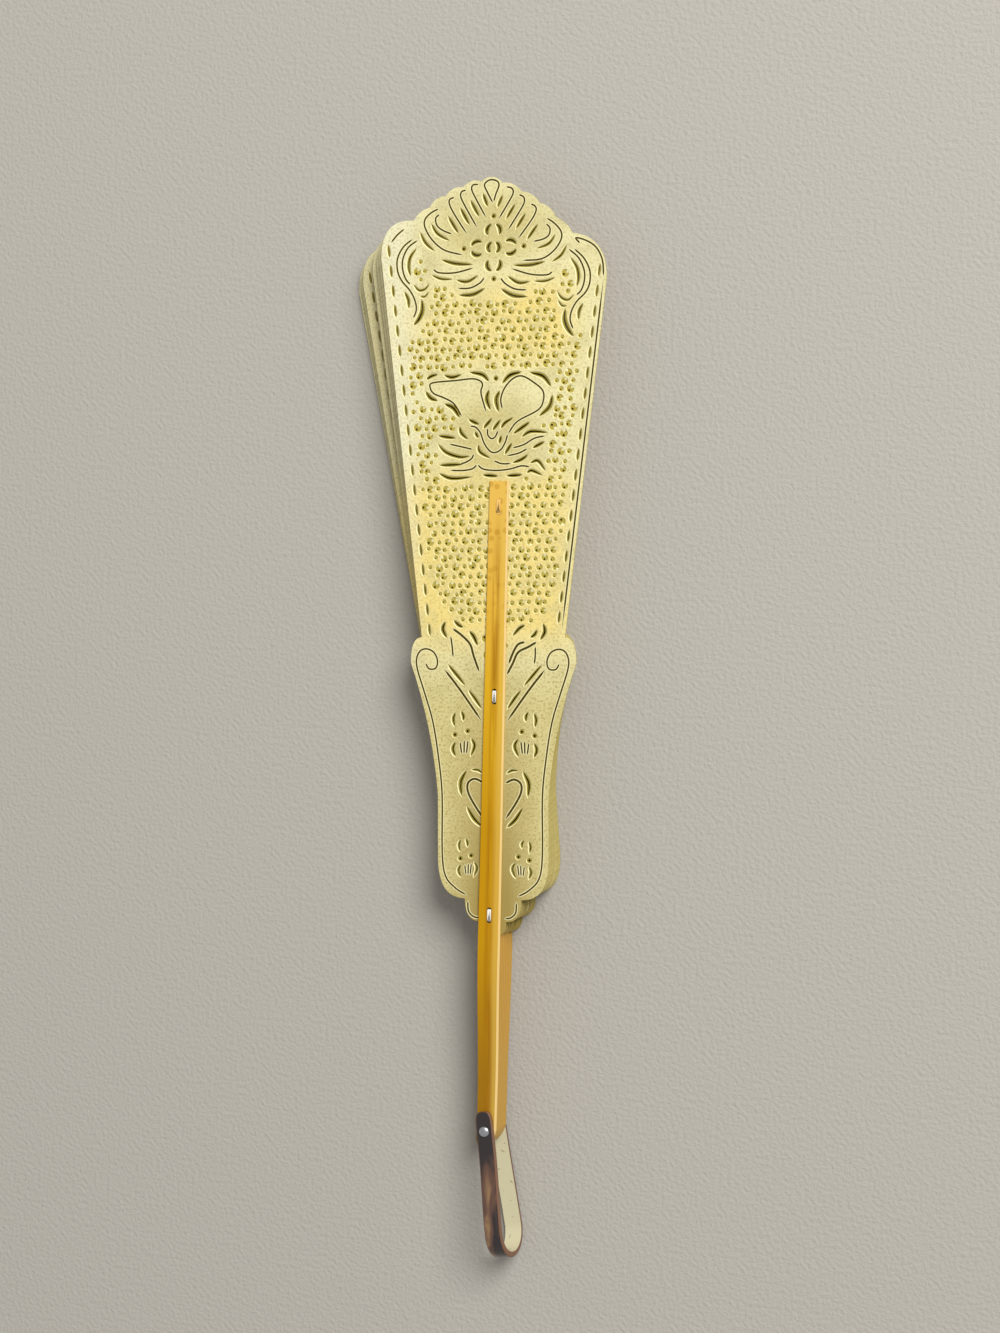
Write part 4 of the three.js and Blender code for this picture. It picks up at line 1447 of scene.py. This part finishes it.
@dataclass
class Blade:
    """One blade of the fan: its pierced leaf, its stick and the three stitches that join them."""

    number: int
    thickness: float = 0.5
    flap_depth: float = 0.26
    strand_radius: float = 0.17
    strands: int = 4
    strand_pitch: float = 0.3
    strand_sides: int = 6
    strand_sink: float = 0.02
    strand_corner: float = 0.3
    corner_turns: tuple[int, ...] = (0, 30, 60, 90)
    plug_radius: float = 0.71
    plug_sink: float = 0.03
    plug_sides: int = 12

    def body(self) -> str:
        """The body that the blade's pieces move with."""
        return REAR_BODY if self.number == BLADES else f"blade_{self.number}"

    def placing(self) -> Matrix:
        """The blade's place, from its own millimetres to the frame's metres."""
        turn = Matrix.Rotation(math.radians(REST_TURN[self.number - 1]), 4, "Z")
        lift = Matrix.Translation((0, 0, Stick(self.number).layer()))
        return Matrix.Scale(MM, 4) @ turn @ lift

    def skew(self) -> Matrix:
        """The turn of the leaf on its stick."""
        pin = Matrix.Translation((0, PIN_AT, 0))
        turn = Matrix.Rotation(math.radians(LEAF_SKEW[self.number - 1]), 4, "Z")
        return pin @ turn @ pin.inverted()

    def build(self, lines: Lines) -> None:
        """Builds the blade's pieces and puts them on its body.

        Args:
            lines: The closed lines of the leaf's drawing.
        """
        stick = Stick(self.number)
        attach(self.build_leaf(lines, stick), self.body(), "parchment", f"leaf_{self.number}")
        attach(stick.build(self.placing()), self.body(), "amber_horn", f"stick_{self.number}")
        for stitch in Stitch:
            place = stitch.name.lower()
            attach(self.build_stitch(stitch, stick), self.body(), "thread", f"stitch_{place}_{self.number}")

    def build_leaf(self, lines: Lines, stick: Stick) -> Object:
        """Fills the drawing as a sheet, gives it its thickness and cuts, and puts it in place.

        Args:
            lines: The closed lines of the leaf's drawing.
            stick: The blade's stick, for the places of its holes.

        Returns:
            The leaf.
        """
        back_turn = self.skew().inverted()
        holes = [(back_turn @ hole.to_3d()).xy for hole in stick.holes()]
        lines = lines + [(Cut.SLIT, punch(hole.x, hole.y, STITCH_HOLE)) for hole in holes]
        spots = []
        rounds = []
        for _, line in lines:
            area = sum(a.cross(b) for a, b in zip(line, [*line[1:], line[0]]))
            rounds.append(list(range(len(spots), len(spots) + len(line))))
            spots += line if area > 0 else list(reversed(line))
        edge_count = len(lines[0][1])
        points, _, triangles, sources, _, owners = geometry.delaunay_2d_cdt(spots, [], rounds, 1, TINY)
        bm = bmesh.new()
        verts = [bm.verts.new((point.x, point.y, self.thickness)) for point in points]
        outer = {vert for vert, source in zip(verts, sources) if any(place < edge_count for place in source)}
        for corners, owner in zip(triangles, owners):
            cuts = {lines[place][0] for place in owner}
            if Cut.OUTLINE not in cuts or Cut.SLIT in cuts:
                continue
            face = bm.faces.new([verts[corner] for corner in corners])
            face.material_index = Sheet(max(cuts))
        loose = [vert for vert in bm.verts if not vert.link_faces]
        bmesh.ops.delete(bm, geom=loose, context="VERTS")
        self.thicken(bm, outer)
        unrolled(bm, lambda spot: spot.xy)
        bm.transform(self.placing() @ self.skew())
        # Every leaf but the front one takes the darker parchment, which is painted shade.
        face = PAINTED_PARCHMENT if self.number == 1 else REAR_PARCHMENT_PAINTED_SHADE
        finishes = (face, BARE_RIM, SCORED_LINE, FLAP_PAINTED_SHADE, DISC_PAINTED_SHADE, CUT_EDGE)
        return finished(bm, f"pierced_leaf_{self.number}", finishes)

    def thicken(self, bm: BMesh, outer: set[bmesh.types.BMVert]) -> None:
        """Gives the sheet its back and its walls, and sinks its flaps and its punched dots.

        Args:
            bm: The flat front of the sheet.
            outer: The vertices along its outer edge.
        """
        front = bm.faces[:]
        open_edges = [edge for edge in bm.edges if edge.is_boundary]
        sunken = (Sheet.FLAP, Sheet.DISC)
        flaps = {vert for face in front if face.material_index in sunken for vert in face.verts} - outer
        copied = bmesh.ops.duplicate(bm, geom=bm.verts[:] + bm.edges[:] + front)["geom"]
        back = [item for item in copied if isinstance(item, bmesh.types.BMFace)]
        bmesh.ops.reverse_faces(bm, faces=back)
        for face in back:
            face.material_index = Sheet.FACE
        walls = bmesh.ops.extrude_edge_only(bm, edges=open_edges)["geom"]
        for item in [*copied, *walls]:
            if isinstance(item, bmesh.types.BMVert):
                item.co.z = 0
        for item in walls:
            if isinstance(item, bmesh.types.BMFace):
                item.material_index = Sheet.WALL
        bmesh.ops.remove_doubles(bm, verts=[vert for vert in bm.verts if vert.co.z < TINY], dist=TINY)
        for vert in flaps:
            vert.co.z -= self.flap_depth
        bmesh.ops.recalc_face_normals(bm, faces=bm.faces)

    def build_stitch(self, stitch: Stitch, stick: Stick) -> Object:
        """Winds a stitch's strands through its two holes.

        Args:
            stitch: Which stitch it is.
            stick: The blade's stick.

        Returns:
            The stitch.
        """
        at = stitch.value
        top = stick.seat() + stick.thickness(at) + self.strand_radius
        top += SEAT_GAP if stitch is Stitch.UPPER else -self.strand_radius - self.strand_sink
        low = -SEAT_GAP - self.strand_radius
        corner = self.strand_corner
        middle_y = STITCH_SPAN / 2
        path = []
        for start, y, z in (
            (0, middle_y - corner, top - corner), (90, corner - middle_y, top - corner),
            (180, corner - middle_y, low + corner), (270, middle_y - corner, low + corner),
        ):
            for turn in self.corner_turns:
                angle = math.radians(start + turn)
                way = Vector((0, math.cos(angle), math.sin(angle)))
                path.append((Vector((0, at + y, z)) + way * corner, way))
        path.append(path[0])
        whole = bmesh.new()
        for strand in range(self.strands):
            x = stick.bow(at) + (strand - (self.strands - 1) / 2) * self.strand_pitch
            turns = [math.tau * side / self.strand_sides for side in range(self.strand_sides)]
            rings = [
                [
                    spot + Vector((x + self.strand_radius * math.cos(turn), 0, 0))
                    + way * self.strand_radius * math.sin(turn)
                    for turn in turns
                ]
                for spot, way in path
            ]
            bm = bmesh.new()
            sweep(bm, rings, closed=True)
            mesh = bpy.data.meshes.new("strand")
            bm.to_mesh(mesh)
            bm.free()
            whole.from_mesh(mesh)
            bpy.data.meshes.remove(mesh)
        if stitch is Stitch.UPPER:
            deep = stick.seat() + stick.thickness(at) - self.plug_sink
            for y in stitch.holes():
                rod(whole, self.plug_radius, deep, (stick.bow(at), y, deep / 2), self.plug_sides)
        for face in whole.faces:
            face.smooth = len(face.verts) == 4
        whole.transform(self.placing())
        thread = PEACH_THREAD if stitch is Stitch.UPPER else WHITE_THREAD
        return finished(whole, f"thread_{stitch.name.lower()}_{self.number}", (thread,))


@dataclass
class Rivet:
    """The peened pin that the blades turn on."""

    shank_radius: float = 1.0
    head_radius: float = 1.7
    head_height: float = 0.9
    tail_radius: float = 1.8
    tail_height: float = 0.8
    tail_chamfer: float = 0.15
    head_chamfer: float = 0.1
    dome_turns: tuple[int, ...] = (75, 55, 35, 18, 0)
    sides: int = 32

    def build(self) -> None:
        """Turns the pin's profile round its axis and puts it on the rear blade."""
        low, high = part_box("rivet")
        top = high.z / MM
        head = top - self.head_height
        dome_foot = head + self.head_chamfer
        dome_height = self.head_height - self.head_chamfer
        profile = [
            (0, low.z / MM),
            (self.tail_radius - self.tail_chamfer, 0),
            (self.tail_radius, self.tail_chamfer),
            (self.tail_radius, self.tail_height),
            (self.shank_radius, self.tail_height),
            (self.shank_radius, head),
            (self.head_radius - self.head_chamfer, head),
            (self.head_radius, dome_foot),
        ]
        for turn in self.dome_turns:
            angle = math.radians(turn)
            profile.append((self.head_radius * math.sin(angle), dome_foot + dome_height * math.cos(angle)))
        bm = bmesh.new()
        line = [bm.verts.new((x, 0, z)) for x, z in profile]
        edges = [bm.edges.new(pair) for pair in zip(line, line[1:])]
        bmesh.ops.spin(
            bm, geom=line + edges, cent=(0, 0, 0), axis=(0, 0, 1), angle=math.tau, steps=self.sides,
            use_merge=True,
        )
        bmesh.ops.remove_doubles(bm, verts=bm.verts, dist=TINY)
        bmesh.ops.recalc_face_normals(bm, faces=bm.faces)
        for face in bm.faces:
            face.smooth = face.calc_center_median().z > dome_foot
        bm.transform(Matrix.Scale(MM, 4))
        attach(finished(bm, "rivet_pin", (PEENED_STEEL,)), REAR_BODY, "rivet_steel", "rivet")


@dataclass
class HangingLoop:
    """The strap of horn bent to a U that hangs from the rivet."""

    width: float = 5.4
    thickness: float = 1.7
    bevel: float = 0.35
    end: float = 6.1
    back_rise: float = 4.0
    drop: float = 40.9
    lean_front: float = 7.5
    lean_back: float = 10.5
    bulge_front: float = 2.2
    bulge_back: float = 0.6
    straight: float = 6.0
    front_z: float = 15.3
    back_z: float = 1.75
    rivet_hole: float = 1.25
    drill_length: float = 60.0
    leg_steps: int = 10
    bow_steps: int = 24
    bevel_limit: float = 0.6
    sharp_from: float = 30.0

    def stations(self) -> list[tuple[float, float, float, float]]:
        """Walks down the front leg, round the bow and up the back leg.

        Returns:
            At each station the height along the leg, the depth, the share of the full width, and the share of
            the way from front to back.
        """
        front = self.front_z + self.bulge_front
        back = self.back_z - self.bulge_back
        radius = (front - back) / 2
        bow_y = radius + self.thickness / 2 - self.drop
        ends = []
        for turn in END_TURNS:
            angle = math.radians(turn)
            ends.append((self.end * math.sqrt(math.sin(angle)), math.sqrt(math.cos(angle))))

        def leg(y: float, pivot: float, wide: float) -> float:
            """The leg's depth, which swells from the rivet to the bow."""
            return pivot + (wide - pivot) * eased((-y - self.straight) / (-bow_y - self.straight))

        rows = [(y, self.front_z, narrow, 0.0) for y, narrow in ends]
        bent = bow_y + self.straight
        legs = [0.0, -self.straight / 2]
        legs += [-self.straight + bent * step / self.leg_steps for step in range(self.leg_steps)]
        rows += [(y, leg(y, self.front_z, front), 1.0, 0.0) for y in legs]
        for step in range(self.bow_steps + 1):
            angle = math.pi * step / self.bow_steps
            share = (1 - math.cos(angle)) / 2
            depth = (front + back) / 2 + radius * math.cos(angle)
            rows.append((bow_y - radius * math.sin(angle), depth, 1.0, share))
        rows += [(y, leg(y, self.back_z, back), 1.0, 1.0) for y in reversed(legs)]
        tail = [(0.0, 1.0), *reversed(ends)]
        rows += [(self.back_rise + y, self.back_z, narrow, 1.0) for y, narrow in tail]
        return rows

    def build(self) -> None:
        """Sweeps the strap, drills it for the rivet and hangs it."""
        stations = []
        for y, z, narrow, share in self.stations():
            lean = math.radians(self.lean_front + (self.lean_back - self.lean_front) * share)
            across = Vector((-math.cos(lean), -math.sin(lean), 0))
            stations.append((Vector((-y * math.tan(lean), y, z)), across, narrow * self.width / 2))
        rings = []
        last = len(stations) - 1
        for place, (middle, across, half) in enumerate(stations):
            way = stations[min(place + 1, last)][0] - stations[max(place - 1, 0)][0]
            outward = across.cross(way).normalized()
            bevel = min(self.bevel, self.bevel_limit * half)
            thick = self.thickness
            section = (
                (-half, 0), (-half, thick - bevel), (bevel - half, thick),
                (half - bevel, thick), (half, thick - bevel), (half, 0),
            )
            rings.append([middle + across * side + outward * (up - thick / 2) for side, up in section])
        outer_face = {2, 3}
        inner_face = {0, 5}
        bm = bmesh.new()
        around = sweep(bm, rings)
        for face in bm.faces:
            face.smooth = True
            places = {vert[around] for vert in face.verts}
            face.material_index = Strap.EDGE
            if places == outer_face:
                face.material_index = Strap.OUTSIDE
            if places == inner_face:
                face.material_index = Strap.INSIDE
        loop = finished(bm, "hanging_loop", (MOTTLED_HORN, PALE_HORN, BROWN_EDGE))
        tools = bmesh.new()
        rod(tools, self.rivet_hole, self.drill_length, (0, 0, 0), BORE_SIDES)
        for face in tools.faces:
            face.material_index = Strap.EDGE
        drill(loop, tools)
        loop.data.transform(Matrix.Scale(MM, 4))
        loop.data.set_sharp_from_angle(angle=math.radians(self.sharp_from))
        attach(loop, "loop", "dark_horn", "loop")


@dataclass
class Studio:
    """The pale floor, the soft light and the camera."""

    camera_at: Point3 = (220.7, 168.8, 735.7)
    camera_turn: Point3 = (-1.27, 16.96, 1.36)
    picture_height: float = 1333.0
    focal_pixels: float = 2400.0
    sensor: float = 24.0
    floor_half: float = 3000.0
    sky_colour: str = "#FFFFFF"
    sky_strength: float = 0.4
    key_power: float = 60.0
    key_size: float = 1400.0
    key_at: Point3 = (1200.0, 1350.0, 1700.0)
    key_target: Point3 = (0.0, 150.0, 0.0)

    def build(self) -> None:
        """Lays the floor, hangs the lamp, lights the sky and sets up the camera."""
        scene = bpy.context.scene
        scene.view_settings.view_transform = "Standard"
        bm = bmesh.new()
        bmesh.ops.create_grid(bm, x_segments=1, y_segments=1, size=self.floor_half * MM)
        finished(bm, "floor", (PALE_FLOOR,))
        scene.world = bpy.data.worlds.new("soft sky")
        scene.world.use_nodes = True
        sky = scene.world.node_tree.nodes["Background"]
        sky.inputs["Color"].default_value = linear(self.sky_colour)
        sky.inputs["Strength"].default_value = self.sky_strength
        lamp = bpy.data.lights.new("key", "AREA")
        lamp.energy = self.key_power
        lamp.shape = "DISK"
        lamp.size = self.key_size * MM
        key = bpy.data.objects.new("key", lamp)
        key.location = Vector(self.key_at) * MM
        way = Vector(self.key_target) - Vector(self.key_at)
        key.rotation_euler = way.to_track_quat("-Z", "Y").to_euler()
        scene.collection.objects.link(key)
        view = bpy.data.cameras.new("view")
        view.sensor_fit = "VERTICAL"
        view.sensor_height = self.sensor
        view.lens = self.focal_pixels / self.picture_height * self.sensor
        camera = bpy.data.objects.new("camera", view)
        camera.location = Vector(self.camera_at) * MM
        camera.rotation_euler = Euler([math.radians(turn) for turn in self.camera_turn], "XYZ")
        scene.collection.objects.link(camera)
        scene.camera = camera


def main() -> None:
    """Builds the fan piece by piece, and then the studio round it."""
    logging.basicConfig(level=logging.INFO, format="%(message)s")
    motifs = (
        PALMETTE, APEX, flower(), SPRAY, SCROLL, SHOULDERS, WINGS, LOTUS, POINTED_LEAVES, CHEVRONS,
        EDGE_LINE, HEART, *[tulip(*place) for place in TULIPS],
    )
    for number, drop in enumerate(CROWN_DROP, start=1):
        Blade(number).build(LeafDrawing(motifs, drop).loops())
    Rivet().build()
    HangingLoop().build()
    Studio().build()


if __name__ == "__main__":
    main()
